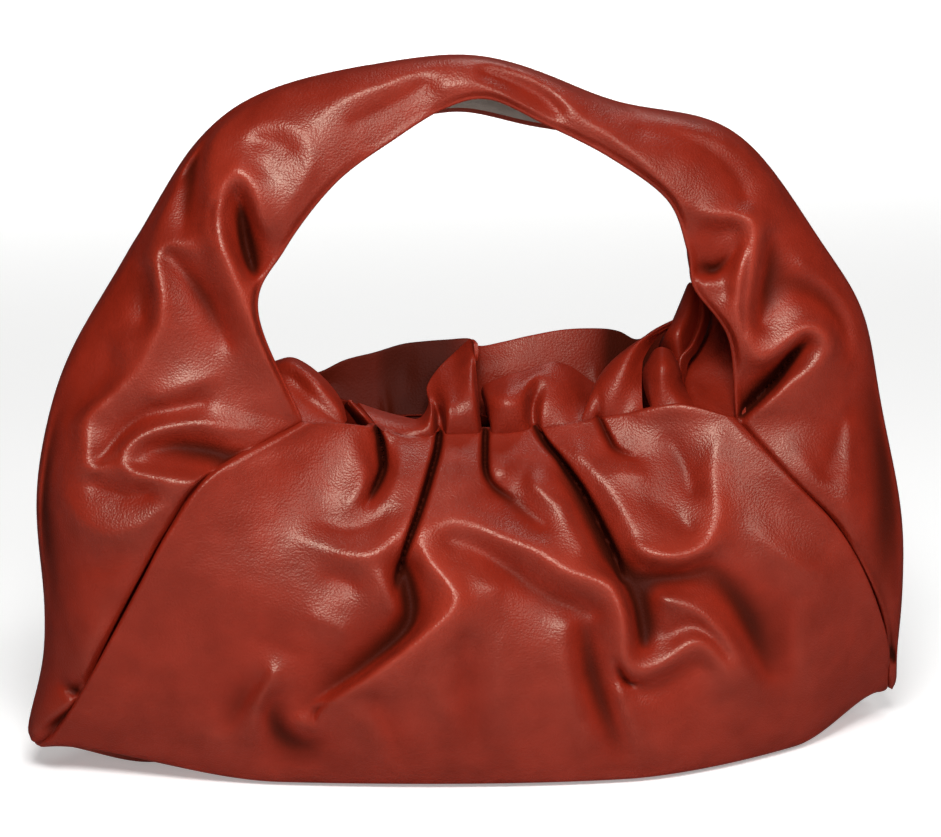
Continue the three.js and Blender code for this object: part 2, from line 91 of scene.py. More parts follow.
class Side(Enum):
    """The half of the bag that a wall belongs to, with the sign of its depth."""

    FRONT = -1
    BACK = 1


def smoothstep(value: np.ndarray, start: float, end: float) -> np.ndarray:
    """A smooth rise from 0 to 1.

    Args:
        value: The values to look at.
        start: Where the rise begins.
        end: Where it is complete.

    Returns:
        The risen values.
    """
    share = np.clip((value - start) / (end - start), 0, 1)
    return share * share * (3 - 2 * share)


def spline(knots: np.ndarray, at: np.ndarray) -> np.ndarray:
    """Points of a smooth curve through knots.

    Args:
        knots: The knots, along the first axis.
        at: Places along the curve, counted in knots from 0.

    Returns:
        The curve's points, with the places along the first axis.
    """
    before = 2 * knots[:1] - knots[1:2]
    after = 2 * knots[-1:] - knots[-2:-1]
    longer = np.concatenate([before, knots, after])
    start = np.clip(np.floor(at).astype(int), 0, len(knots) - 2)
    share = (at - start).reshape((-1,) + (1,) * (knots.ndim - 1))
    p0, p1, p2, p3 = (longer[start + k] for k in range(4))
    m1 = (p2 - p0) / 2
    m2 = (p3 - p1) / 2
    bend = 3 * (p2 - p1) - 2 * m1 - m2
    twist = 2 * (p1 - p2) + m1 + m2
    return p1 + share * (m1 + share * (bend + share * twist))


def unit(vectors: np.ndarray) -> np.ndarray:
    """The vectors of an array at length 1."""
    return vectors / np.maximum(np.linalg.norm(vectors, axis=-1, keepdims=True), TINY)


def grid_normals(grid: np.ndarray, sign: float) -> np.ndarray:
    """Unit normals of a grid of points.

    Args:
        grid: Points by row and column.
        sign: 1 or -1, which turns the normals outwards.

    Returns:
        A normal for each point.
    """
    down = np.gradient(grid, axis=0)
    along = np.gradient(grid, axis=1)
    return unit(np.cross(along, down) * sign)


def padded(values: np.ndarray, steps: int, axis: int) -> np.ndarray:
    """Values with those at both ends of one axis repeated.

    Args:
        values: The values.
        steps: How often the ends are repeated.
        axis: The axis.

    Returns:
        The longer values.
    """
    widths = [(0, 0)] * values.ndim
    widths[axis] = (steps, steps)
    return np.pad(values, widths, mode="edge")


def blurred(values: np.ndarray, sigma: float, axis: int) -> np.ndarray:
    """Values smoothed along one axis.

    Args:
        values: The values.
        sigma: Width of the smoothing, in steps.
        axis: The axis.

    Returns:
        The smoothed values.
    """
    reach = math.ceil(SMOOTHING_REACH * sigma)
    weights = np.exp(-0.5 * (np.arange(-reach, reach + 1) / sigma) ** 2)
    weights /= weights.sum()
    ring = padded(values, reach, axis)
    size = values.shape[axis]
    return sum(w * np.take(ring, range(k, k + size), axis) for k, w in enumerate(weights))


def lowest(values: np.ndarray, reach: tuple[int, int]) -> np.ndarray:
    """The lowest value around each place of a grid.

    Args:
        values: The values.
        reach: How many rows and columns to look at on each side.

    Returns:
        The lowest values.
    """
    for axis, steps in enumerate(reach):
        ring = padded(values, steps, axis)
        values = np.lib.stride_tricks.sliding_window_view(ring, 2 * steps + 1, axis=axis).min(axis=-1)
    return values


def from_edge(grid: np.ndarray) -> np.ndarray:
    """How far each point of a grid is from the nearer end of its row.

    Args:
        grid: Points by row and column.

    Returns:
        A distance along the row for each point.
    """
    run = np.linalg.norm(np.diff(grid, axis=1), axis=-1)
    along = np.concatenate([np.zeros((len(grid), 1)), np.cumsum(run, axis=1)], axis=1)
    return np.minimum(along, along[:, -1:] - along)


def close_at_ends(near: Sequence[float], columns: int) -> np.ndarray:
    """Shares from 0 to 1 that lie close together at both ends.

    Args:
        near: The first shares, from 0.
        columns: Even steps between the last of them and its mirror.

    Returns:
        The shares.
    """
    first = np.array(near)
    middle = np.linspace(first[-1], 1 - first[-1], columns + 1)
    return np.concatenate([first[:-1], middle, 1 - first[-2::-1]])


def split(counts: Sequence[int]) -> np.ndarray:
    """Places that part each stretch of a curve into a number of steps.

    Args:
        counts: Steps in each stretch.

    Returns:
        Places counted in stretches from 0, with the last end.
    """
    parts = [np.arange(count) / count + stretch for stretch, count in enumerate(counts)]
    return np.append(np.concatenate(parts), len(counts))


def even_steps(lengths: np.ndarray, step: float, least: int) -> np.ndarray:
    """Places along stretches of a curve, about evenly spaced in length.

    Args:
        lengths: Length of each stretch between two knots.
        step: The distance wanted between places.
        least: The fewest places in a stretch.

    Returns:
        Places counted in knots from 0, with the last knot.
    """
    return split(np.maximum(np.rint(lengths / step), least).astype(int))


def rim(start: np.ndarray, end: np.ndarray, away: np.ndarray) -> np.ndarray:
    """A half round over the edge of a leather wall.

    Args:
        start: Points on one face of the wall, where the round starts.
        end: Points on the other face, where it ends.
        away: Directions out of the edge.

    Returns:
        Points by step of the round and by place along the edge.
    """
    centre = (start + end) / 2
    out = unit(away) * LEATHER_WALL / 2
    turn = np.linspace(0, math.pi, RIM_STEPS + 2)[1:-1]
    return np.stack([centre + math.cos(t) * (start - centre) + math.sin(t) * out for t in turn])


def add_object(name: str, data: bpy.types.ID) -> bpy.types.Object:
    """A new object in the scene.

    Args:
        name: Its name.
        data: Its mesh, lamp or camera.

    Returns:
        The object.
    """
    made = bpy.data.objects.new(name, data)
    bpy.context.scene.collection.objects.link(made)
    return made


def look_along(direction: Vector) -> Euler:
    """The turn of a lamp or camera that looks in a direction."""
    return direction.to_track_quat("-Z", "Y").to_euler()


class View(Protocol):
    """A picture plane that a wall's folds are drawn on."""

    def picture(self, points: np.ndarray) -> np.ndarray:
        """Places of points in the picture."""

    def toward(self, points: np.ndarray) -> np.ndarray:
        """Directions from points to the viewer."""


@dataclass(frozen=True)
class PhotoView:
    """The photo's camera, which turns millimetres into pixels of the photo and back."""

    azimuth: float = -12.0
    elevation: float = 15.0
    distance: float = 2200.0
    scale: float = 0.455
    width: int = 941
    height: int = 837
    target: Point = (8.54, 36.96, 141.54)

    @property
    def back(self) -> np.ndarray:
        """Direction from the target to the camera.

        Returns:
            A unit vector.
        """
        turn = math.radians(self.azimuth)
        rise = math.radians(self.elevation)
        return np.array([math.sin(turn) * math.cos(rise), -math.cos(turn) * math.cos(rise), math.sin(rise)])

    @property
    def right(self) -> np.ndarray:
        """Direction to the picture's right."""
        turn = math.radians(self.azimuth)
        return np.array([math.cos(turn), math.sin(turn), 0.0])

    @property
    def up(self) -> np.ndarray:
        """Direction to the picture's top."""
        return np.cross(self.back, self.right)

    @property
    def focal(self) -> float:
        """Focal length in pixels."""
        return self.distance / self.scale

    @property
    def eye(self) -> np.ndarray:
        """Where the camera stands."""
        return np.array(self.target) + self.back * self.distance

    def picture(self, points: np.ndarray) -> np.ndarray:
        """Places of points in the photo.

        Args:
            points: Points in millimetres.

        Returns:
            Pixels from the left and from the top.
        """
        away = points - np.array(self.target)
        depth = self.distance - away @ self.back
        across = self.width / 2 + self.focal * (away @ self.right) / depth
        down = self.height / 2 - self.focal * (away @ self.up) / depth
        return np.stack([across, down], axis=-1)

    def toward(self, points: np.ndarray) -> np.ndarray:
        """Directions from points to the camera."""
        return unit(self.eye - points)

    def at_depth(self, spots: np.ndarray) -> np.ndarray:
        """Points behind pixels at known depths.

        Args:
            spots: Pixel from the left, pixel from the top and the bag's y for each point.

        Returns:
            The points in millimetres.
        """
        across = (spots[..., :1] - self.width / 2) / self.focal
        down = (spots[..., 1:2] - self.height / 2) / self.focal
        ray = across * self.right - down * self.up - self.back
        reach = (spots[..., 2:] - self.eye[1]) / ray[..., 1:2]
        return self.eye + ray * reach


@dataclass(frozen=True)
class PlainView:
    """The bag seen square from the front or the back, in millimetres."""

    side: Side

    def picture(self, points: np.ndarray) -> np.ndarray:
        """Places of points in the picture.

        Args:
            points: Points in millimetres.

        Returns:
            The x and z of each point.
        """
        return points[..., [0, 2]]

    def toward(self, points: np.ndarray) -> np.ndarray:
        """Directions from points to the viewer."""
        return np.zeros(points.shape) + (0, self.side.value, 0)


@dataclass
class HeightMap:
    """Heights on a picture, in square cells.

    Each fold is a line, with two picture places and a height in millimetres for each of its points.
    """

    folds: dict[str, Fold]
    area: tuple[Span, Span]
    cell: float
    heights: np.ndarray = field(init=False)

    def shape(self, cell: float) -> tuple[int, int]:
        """Rows and columns of the picture in cells of a size."""
        columns, rows = (math.ceil((b - a) / cell) + 1 for a, b in zip(*self.area))
        return rows, columns

    @staticmethod
    def line(fold: Fold, step: float) -> np.ndarray:
        """Points along a fold's line.

        Args:
            fold: The fold.
            step: Distance between points.

        Returns:
            Two picture places and a height for each point.
        """
        knots = np.array(fold, float)
        run = np.linalg.norm(np.diff(knots[:, :2], axis=0), axis=1)
        return spline(knots, even_steps(run, step, least=2))

    @staticmethod
    def between(heights: np.ndarray, i: np.ndarray, j: np.ndarray) -> np.ndarray:
        """Heights between cells.

        Args:
            heights: Heights of the cells.
            i: Rows to read at, with fractions.
            j: Columns to read at, with fractions.

        Returns:
            The heights there.
        """
        i = np.clip(i, 0, heights.shape[0] - JUST_INSIDE)
        j = np.clip(j, 0, heights.shape[1] - JUST_INSIDE)
        row = i.astype(int)
        column = j.astype(int)
        down = i - row
        along = j - column
        upper = heights[row, column] * (1 - along) + heights[row, column + 1] * along
        lower = heights[row + 1, column] * (1 - along) + heights[row + 1, column + 1] * along
        return upper * (1 - down) + lower * down

    def at(self, places: np.ndarray) -> np.ndarray:
        """Heights at places of the picture.

        Args:
            places: Two picture places for each point.

        Returns:
            The heights in millimetres.
        """
        j, i = np.moveaxis((places - np.array(self.area[0])) / self.cell, -1, 0)
        return self.between(self.heights, i, j)


@dataclass
class Relief(HeightMap):
    """Leather stretched over the lines of folds."""

    span: float
    soften: float
    rounds: int = 110
    over: float = 1.75
    levels: tuple[int, ...] = (8, 4, 2, 1)

    def __post_init__(self) -> None:
        """Stretches the leather from coarse cells to fine ones."""
        heights = np.zeros((2, 2))
        for level in self.levels:
            pinned, pins = self._pins(self.cell * level)
            heights = self._resize(heights, pinned.shape)
            heights = self._relax(np.where(pinned, pins, heights), pinned, self.cell * level)
        self.heights = blurred(blurred(heights, self.soften, 0), self.soften, 1)

    def _pins(self, cell: float) -> tuple[np.ndarray, np.ndarray]:
        """Cells that the folds hold.

        Args:
            cell: Size of a cell.

        Returns:
            Which cells are held, and their heights.
        """
        rows, columns = self.shape(cell)
        total = np.zeros((rows, columns))
        count = np.zeros((rows, columns))
        for fold in self.folds.values():
            line = self.line(fold, cell / 2)
            j, i = np.rint((line[:, :2] - np.array(self.area[0])) / cell).astype(int).T
            inside = (i >= 0) & (i < rows) & (j >= 0) & (j < columns)
            np.add.at(total, (i[inside], j[inside]), line[inside, 2])
            np.add.at(count, (i[inside], j[inside]), 1)
        return count > 0, total / np.maximum(count, 1)

    def _resize(self, heights: np.ndarray, shape: tuple[int, int]) -> np.ndarray:
        """Heights of coarse cells read at finer ones.

        Args:
            heights: The coarse heights.
            shape: Rows and columns wanted.

        Returns:
            The finer heights.
        """
        i = np.linspace(0, heights.shape[0] - 1, shape[0])
        j = np.linspace(0, heights.shape[1] - 1, shape[1])
        return self.between(heights, i[:, None], j[None, :])

    def _relax(self, heights: np.ndarray, pinned: np.ndarray, cell: float) -> np.ndarray:
        """Lets the leather settle between the held cells.

        Args:
            heights: Heights to start from.
            pinned: Which cells are held.
            cell: Size of a cell.

        Returns:
            The settled heights.
        """
        hold = NEIGHBOURS + (cell / self.span) ** 2
        rows, columns = np.indices(heights.shape)
        free = [((rows + columns) % 2 == parity) & ~pinned for parity in (0, 1)]
        for _ in range(self.rounds):
            for turn in free:
                ring = np.pad(heights, 1, mode="edge")
                around = ring[:-2, 1:-1] + ring[2:, 1:-1] + ring[1:-1, :-2] + ring[1:-1, 2:]
                heights = np.where(turn, heights + self.over * (around / hold - heights), heights)
        return heights


@dataclass
class Grooves(HeightMap):
    """Narrow slits with smooth sides, where the leather folds over itself."""

    width: float
    reach: float = 3.0

    def __post_init__(self) -> None:
        """Cuts each slit into a flat picture."""
        self.heights = np.zeros(self.shape(self.cell))
        rows, columns = np.indices(self.heights.shape)
        places = np.stack([columns, rows], axis=-1) * self.cell + np.array(self.area[0])
        for fold in self.folds.values():
            line = self.line(fold, self.cell / 2)
            track = line[:, :2]
            apart = np.abs(places - np.clip(places, track.min(axis=0), track.max(axis=0)))
            near = np.flatnonzero(apart.max(axis=-1) < self.reach * self.width)
            gap = np.linalg.norm(places.reshape(-1, 1, 2)[near] - track, axis=-1)
            nearest = gap.argmin(axis=1)
            share = np.exp(-((gap.min(axis=1) / self.width) ** 2))
            self.heights.flat[near] += line[nearest, 2] * share


@dataclass
class Draping:
    """Folds of one wall and the picture that they are drawn on."""

    view: View
    layers: tuple[HeightMap, ...]
    edge_on: float = 0.04
    faced: float = 0.4
    # Slit depths over which a slit is painted fully dark
    slit_depths: Span = (0.5, 3.0)

    def heights(self, grid: np.ndarray, normal: np.ndarray, fade: np.ndarray) -> np.ndarray:
        """Heights of the folds over a wall, to the viewer or away, so that its points stay in their places.

        Args:
            grid: Points of the plain wall.
            normal: Their outward normals.
            fade: Share of the height that each point takes.

        Returns:
            A height for each point.
        """
        facing = smoothstep(np.sum(normal * self.view.toward(grid), axis=-1), self.edge_on, self.faced)
        places = self.view.picture(grid)
        return sum(layer.at(places) for layer in self.layers) * fade * facing

    def painted_shade_heights(self, grid: np.ndarray, heights: np.ndarray) -> np.ndarray:
        """Heights from which the leather paints shade and highlight on a wall, with a slit painted dark even
        beside a ridge.

        Args:
            grid: Points of the plain wall.
            heights: Heights of its folds.

        Returns:
            A height for each point.
        """
        slits = np.where(heights == 0, 0, self.layers[-1].at(self.view.picture(grid)))
        cut = smoothstep(-slits, *self.slit_depths)
        return heights + (np.minimum(heights, slits) - heights) * cut


# Broad folds of the front panel: pixels from the left and the top, and height
FRONT_FOLDS: dict[str, Fold] = {
    "long_ridge": (
        (439, 522, 8), (427, 529, 9), (422, 542, 9.5), (427, 559, 11), (442, 574, 12), (454, 589, 13),
        (458, 600, 13.5), (453, 612, 13.5), (438, 625, 13), (407, 647, 12), (370, 674, 10), (340, 694, 7),
        (318, 708, 3),
    ),
    "long_ridge_shade": (
        (403, 565, -9), (408, 590, -10), (412, 612, -10), (408, 630, -9), (390, 650, -8), (352, 679, -6),
        (321, 697, -3.5), (300, 713, -1.5),
    ),
    "ridge_end": ((296, 722, 2.5), (308, 728, 2.5)),
    "cross_ridge": (
        (439, 522, 8), (459, 521, 7.5), (482, 528, 7), (509, 539, 7.5), (536, 549, 8.5), (551, 560, 9.5),
        (569, 572, 10.5), (594, 578, 11.5), (611, 585, 12), (620, 599, 12), (625, 619, 11.5),
        (626, 639, 10), (625, 656, 8), (630, 671, 7),
    ),
    "cross_shade": (
        (449, 539, 2), (474, 547, -1), (494, 559, -3), (515, 573, -4), (540, 590, -4), (570, 604, -4),
        (596, 612, -3),
    ),
    "cross_bump": ((450, 562, 5), (470, 574, 5.5), (495, 590, 5.5)),
    "hook_ridge": (
        (630, 671, 7), (642, 673, 7), (669, 662, 7.5), (686, 646, 8.5), (699, 641, 9), (711, 647, 9),
        (723, 662, 8), (733, 680, 6), (743, 694, 3.5),
    ),
    "hook_shade": ((618, 676, -1), (640, 690, -2.5), (668, 680, -3), (690, 668, -2.5), (706, 668, -1)),
    "second_ridge": (
        (659, 598, 4), (689, 606, 6), (709, 622, 7), (728, 642, 7), (743, 666, 6), (758, 690, 3),
    ),
    "second_shade": ((668, 638, -2), (690, 624, -1), (712, 636, 1), (728, 658, 2)),
    "right_valley": (
        (560, 470, -4), (574, 490, -6), (588, 512, -7.5), (600, 536, -8), (613, 560, -9), (626, 582, -9.5),
        (636, 602, -10), (641, 626, -10), (642, 648, -7),
    ),
    "right_bank": ((575, 450, 4), (597, 474, 5), (618, 500, 5), (634, 530, 5)),
    "left_bank": ((540, 480, 3.5), (562, 512, 4.5), (584, 548, 6)),
    "cheek_ridge": (
        (722, 430, 4), (716, 452, 6), (713, 472, 7), (716, 495, 9), (717, 518, 10.5), (706, 545, 11.5),
        (684, 557, 12), (664, 557, 11.5), (647, 553, 9), (634, 545, 6),
    ),
    "cheek_hollow": ((652, 500, 0), (676, 514, 0), (690, 530, 1)),
    "cheek_dip": ((668, 438, -1), (684, 466, -2.5), (692, 494, -1)),
    "cheek_shade": (
        (628, 588, -8), (645, 580, -7), (664, 577, -7), (690, 574, -6), (712, 568, -5), (738, 603, -6.5),
        (752, 630, -6.5), (762, 655, -5), (770, 676, -2.5),
    ),
    "side_bulge": ((745, 520, 4), (770, 545, 5.5), (800, 566, 5.5), (828, 576, 3)),
    "side_line": ((790, 598, -1.5), (787, 640, -2.5), (792, 672, -1.5)),
    "side_soft": ((808, 606, 2), (806, 650, 3), (800, 690, 1.5)),
    "skirt_valley": (
        (584, 628, -4), (588, 652, -6), (592, 676, -6.5), (604, 708, -6), (614, 736, -4.5), (622, 755, -2),
    ),
    "skirt_left": ((566, 622, 3), (566, 660, 3.5), (575, 700, 3.5), (590, 742, 2)),
    "skirt_right": ((618, 688, 3.5), (634, 730, 3.5), (646, 758, 2)),
    "centre_line": ((470, 640, 0), (467, 674, -2), (469, 713, -2), (474, 740, -0.5)),
    "centre_swell": ((500, 640, 3), (496, 690, 3), (504, 730, 1.5)),
    "ridge_foot": ((420, 672, 3), (436, 692, 3.5), (444, 724, 1.5)),
    "curl_shade": ((228, 728, -2), (237, 712, -3.5), (247, 694, -3.5), (259, 681, -1.5)),
    "curl_ridge": ((277, 671, 5), (265, 688, 5.5), (257, 706, 5), (252, 726, 3.5), (250, 742, 1.5)),
    "curl_valley": (
        (286, 690, 0), (272, 706, -4), (273, 722, -6), (286, 738, -6.5), (306, 745, -5), (329, 741, -1.5),
    ),
    "left_swell": ((205, 734, 2), (224, 741, 2.5)),
    "left_soft": ((357, 700, 2.5), (370, 728, 3), (378, 753, 2)),
    "left_soft_shade": ((375, 700, -1), (390, 730, -2), (398, 756, -1)),
    "pocket_bulge": ((312, 618, 2.5), (346, 632, 3.5)),
    "left_low_shade": ((262, 640, -1.5), (300, 652, -2), (334, 658, -1.5)),
    "left_fan": ((352, 438, 3), (362, 458, 5.5), (366, 476, 6.5), (360, 494, 5), (348, 506, 3)),
    "left_fan_shade": ((381, 445, -5), (383, 470, -6), (374, 492, -4.5), (366, 506, -1.5)),
    "left_fan_right": ((398, 446, 3.5), (398, 470, 4.5), (390, 492, 4), (376, 512, 3)),
    "swag_ridge": (
        (300, 538, 2.5), (330, 550, 5), (352, 556, 8), (372, 556, 9), (388, 546, 9), (401, 530, 8),
        (411, 512, 6),
    ),
    "swag_hollow": ((318, 520, -1), (350, 528, -1), (371, 522, 0), (384, 508, 1)),
    "swag_shade": ((330, 576, -1.5), (352, 584, -2)),
    "pocket_wall": ((374, 564, 6), (386, 586, 5), (396, 612, 2)),
    "slit_left": ((420, 450, 3), (413, 480, 4), (405, 506, 5)),
    "slit_right": ((452, 440, 3.5), (452, 470, 4), (446, 500, 5)),
    "tuck_ridge": ((500, 452, 4), (503, 474, 4.5)),
    "tuck_gap": ((525, 462, -0.5), (518, 482, -1.5), (514, 496, -2)),
    "tuck_bump": ((532, 480, 5), (548, 496, 6), (564, 508, 5)),
    "tuck_shade": ((492, 488, -3.5), (510, 500, -4.5), (529, 515, -4), (545, 528, -2)),
    "right_tuck": ((612, 446, -2.5), (624, 453, -1.5), (644, 461, -0.5)),
    "cheek_bump": ((600, 480, 4.5), (622, 471, 5.5), (642, 475, 4.5)),
    "left_sheen": ((236, 470, 2), (270, 462, 2.5), (310, 452, 2)),
    "right_rim": ((636, 410, 5), (664, 403, 7), (690, 404, 7), (716, 412, 5)),
}

# Slits of the front panel, where the leather folds over itself under the mouth
FRONT_SLITS: dict[str, Fold] = {
    "centre_slit": (
        (440, 420, -12), (438, 446, -12), (430, 476, -12), (419, 512, -11), (406, 548, -9), (397, 578, -5),
        (396, 592, -1),
    ),
    "right_slit": (
        (530, 418, -8), (543, 440, -9), (560, 460, -10), (581, 490, -10), (599, 524, -9), (614, 555, -7),
        (622, 580, -3),
    ),
    "left_slit": ((376, 430, -8), (381, 446, -9), (383, 468, -8), (375, 488, -5), (367, 503, -1)),
    "centre_tuck": ((486, 424, -10), (485, 450, -10), (486, 472, -8), (493, 486, -4), (510, 499, -1)),
    "right_tuck": ((598, 418, -5), (608, 438, -5), (616, 450, -3), (634, 458, -1)),
    "hook_notch": ((616, 662, -1), (620, 672, -4), (628, 682, -4), (640, 684, -1)),
    "ridge_end": ((326, 703, -1), (316, 711, -3), (312, 722, -1)),
}

# Broad folds of the band as the photo shows them
STRAP_FRONT_FOLDS: dict[str, Fold] = {
    "arch_ridge": (
        (214, 220, 9), (220, 200, 9), (226, 178, 9.5), (234, 169, 10), (242, 173, 10), (252, 187, 9.5),
        (258, 208, 8), (264, 227, 5.5), (275, 238, 2.5),
    ),
    "arch_valley": ((236, 190, 1), (240, 204, -5), (243, 222, -8), (246, 245, -9), (252, 270, -7)),
    "inner_edge": (
        (214, 222, 9), (221, 243, 10), (230, 264, 11), (242, 299, 11), (255, 330, 10), (269, 358, 8),
        (283, 382, 5), (304, 404, 2.5),
    ),
    "shoulder_rim": (
        (244, 133, 4), (263, 123, 3.5), (284, 123, 3.5), (301, 133, 3.5), (310, 150, 4), (312, 164, 4.5),
        (302, 184, 5), (288, 205, 5.5), (280, 226, 4.5),
    ),
    "shoulder_dip": ((256, 141, 0), (276, 143, 0), (290, 152, 1)),
    "shoulder_fill": ((264, 168, 2.5), (284, 176, 3.5)),
    "shoulder_edge": ((228, 102, 3), (216, 124, 5), (210, 148, 6), (208, 176, 6.5), (210, 202, 7.5)),
    "shoulder_shade": ((208, 116, -4), (199, 142, -6), (192, 172, -6.5), (188, 204, -5), (184, 232, -1.5)),
    "outer_soft": ((174, 182, 3), (160, 214, 4), (154, 244, 5.5)),
    "outer_edge": ((150, 206, -0.5), (138, 232, -1.5), (126, 258, -2)),
    "brow_ridge": ((154, 254, 8), (161, 247, 6.5), (175, 243, 5.5), (192, 248, 3.5), (206, 256, 2)),
    "hollow_below": ((168, 254, -0.5), (184, 271, -4), (204, 297, -5.5), (217, 319, -4), (228, 344, -2)),
    "outer_ridge": (
        (154, 256, 9), (158, 281, 10), (161, 301, 10), (159, 326, 9), (151, 342, 8), (140, 367, 7.5),
        (120, 387, 7.5), (102, 403, 7.5), (87, 413, 7.5), (82, 428, 7.5), (87, 448, 7.5), (85, 460, 7.5),
        (93, 469, 7), (106, 464, 5), (118, 456, 2.5),
    ),
    "outer_shade": ((141, 268, -3), (147, 296, -4), (143, 322, -2.5)),
    "outer_bulge": ((124, 342, 4), (126, 362, 5)),
    "outer_bulge_edge": ((108, 346, -0.5), (108, 372, -1.5), (92, 394, -2), (70, 420, -1.5)),
    "loop_hollow": ((102, 424, 2), (102, 446, 1)),
    "hip_soft_ridge": ((150, 400, 4), (170, 393, 5.5), (193, 385, 5.5), (212, 378, 4)),
    "hip_valley": (
        (98, 462, -1), (116, 443, -3.5), (134, 423, -3.5), (152, 412, -2.5), (175, 408, -2),
        (205, 402, -1.5),
    ),
    "eye_upper": (
        (120, 460, 5.5), (122, 450, 6), (134, 438, 6.5), (163, 428, 6), (204, 424, 6), (224, 430, 5),
        (251, 430, 3),
    ),
    "eye_hollow": ((150, 450, -3), (175, 446, -6), (205, 450, -7), (228, 456, -6), (244, 452, -3)),
    "eye_inner": ((134, 462, 0), (161, 467, 1), (196, 471, 0)),
    "eye_lower": (
        (120, 460, 6), (130, 471, 7.5), (147, 477, 7.5), (163, 478, 7.5), (183, 482, 8), (196, 483, 7.5),
        (206, 478, 6),
    ),
    "hip_hollow": ((92, 482, -2), (125, 494, -3.5), (150, 492, -3)),
    "hip_bulge": ((66, 500, 3.5), (84, 522, 4.5), (108, 534, 5), (139, 526, 5), (164, 508, 4)),
    "hip_low": ((70, 562, -1.5), (100, 568, -2), (126, 560, -1.5)),
    "ear_swell": ((98, 630, 3), (88, 650, 3.5), (84, 676, 3)),
    "ear_crease": ((52, 670, 0), (63, 683, -2), (80, 696, -4)),
    "ear_ridge": ((35, 730, 3.5), (53, 717, 5), (76, 704, 5)),
    "ear_groove": ((38, 738, -2), (56, 728, -3), (72, 715, -3)),
    "right_shelf": (
        (690, 211, 4), (712, 215, 7), (738, 215, 9), (751, 220, 10.5), (757, 231, 11), (755, 253, 11),
        (751, 274, 11), (747, 296, 11), (744, 316, 10.5), (747, 333, 9), (753, 353, 8.5), (762, 359, 8.5),
        (777, 352, 8.5), (794, 337, 9), (809, 328, 9), (820, 329, 9), (829, 339, 9), (830, 350, 8),
    ),
    "right_twin": ((748, 246, 9), (740, 270, 10), (738, 296, 10), (737, 312, 9.5), (741, 328, 8.5)),
    "shelf_shade": ((702, 232, -2), (718, 232, -3), (736, 230, 0)),
    "right_shade": ((772, 236, -3), (769, 266, -6), (764, 298, -6), (760, 326, -2.5)),
    "right_facet": ((782, 322, 2), (800, 306, 2)),
    "right_soft_valley": (
        (777, 281, -4), (809, 286, -4.5), (833, 307, -4.5), (844, 330, -3.5), (847, 354, -1.5),
    ),
    "right_outer": ((800, 262, 1), (834, 290, 2), (854, 316, 2.5), (862, 344, 2)),
    "right_hook": ((829, 352, 7.5), (809, 370, 7.5), (788, 383, 7.5), (773, 397, 7.5), (745, 417, 4)),
    "right_deep": ((808, 341, -2), (794, 355, -6), (778, 373, -8), (758, 396, -8), (743, 411, -6)),
    "right_pocket": ((694, 270, -4), (712, 272, -5.5), (727, 262, -3), (738, 246, 0)),
    "right_pocket_lip": ((696, 284, 2.5), (716, 283, 3), (728, 294, 3)),
    "hook_below": ((838, 376, 2), (826, 396, 2.5), (806, 420, 2)),
    "right_hip_shade": ((850, 400, -1.5), (840, 440, -2.5), (826, 476, -2)),
    "right_hip": ((788, 430, 2.5), (800, 456, 3), (824, 490, 2)),
    "right_corner": ((842, 392, 1), (848, 440, 1.5), (850, 490, 2), (848, 540, 1.5)),
    "right_side": ((868, 380, -3), (878, 430, -5), (886, 490, -6), (886, 550, -5), (880, 600, -2)),
    "left_corner": ((74, 430, 2.5), (66, 470, 3), (62, 500, 3)),
    "left_side": ((52, 410, -4), (46, 460, -6), (42, 520, -7), (46, 570, -5), (54, 620, -2)),
    "right_ear_crease": ((879, 626, -1), (884, 647, -4), (896, 661, -4)),
    "right_ear": ((870, 640, 2), (874, 664, 3), (888, 676, 2.5)),
    "crown_edge": (
        (577, 116, 4.5), (603, 131, 5.5), (632, 153, 5.5), (651, 170, 5.5), (673, 194, 5.5), (690, 210, 5),
    ),
    "crown_edge_shade": ((596, 150, -1), (630, 178, -1.5), (656, 206, -1)),
    "far_shoulder": ((650, 112, 1.5), (700, 130, 2), (742, 152, 2.5), (768, 182, 3), (772, 206, 2.5)),
    "far_shoulder_shade": (
        (640, 128, -1), (676, 136, -2), (712, 152, -2.5), (736, 176, -2.5), (746, 200, -1.5),
    ),
    "crown_ridge": (
        (454, 56, 2.5), (471, 57, 3), (506, 63, 4), (529, 74, 4.5), (552, 89, 4.5), (569, 103, 5),
        (577, 117, 5),
    ),
    "crown_groove": ((483, 73, -2), (508, 81, -2.5), (537, 93, -2.5), (558, 111, -2)),
    "crown_lower": (
        (442, 89, 3), (465, 83, 3.5), (483, 84, 3.5), (506, 95, 3.5), (529, 112, 3), (546, 125, 2.5),
    ),
    "crown_left": ((310, 123, 2.5), (342, 100, 3.5), (385, 83, 4), (431, 63, 3), (454, 56, 2.5)),
    "crown_left_shade": ((352, 124, -1.5), (392, 104, -2), (428, 84, -1.5)),
}

# Slits of the band
STRAP_SLITS: dict[str, Fold] = {
    "right_slit": (
        (812, 336, 0), (800, 346, -4), (789, 359, -7), (776, 379, -9), (759, 397, -9), (742, 414, -7),
    ),
    "arch_slit": ((240, 196, 0), (243, 222, -3), (247, 248, -4), (254, 274, -3)),
    "twin_gap": ((750, 250, -1), (746, 276, -2), (742, 308, -2), (745, 332, -1)),
    "twin_crest": ((218, 196, -0.5), (212, 210, -1.5), (213, 228, -1.5), (218, 244, -0.5)),
    "lip_tuck": ((700, 262, 0), (713, 270, -2), (728, 260, -1)),
    "left_ear": ((42, 730, -1), (56, 722, -4), (76, 707, -3)),
    "left_ear_upper": ((58, 681, 0), (66, 686, -1.5), (73, 691, -3), (81, 695, -3.5)),
    "right_ear": ((880, 628, 0), (884, 645, -3), (896, 660, -3)),
}

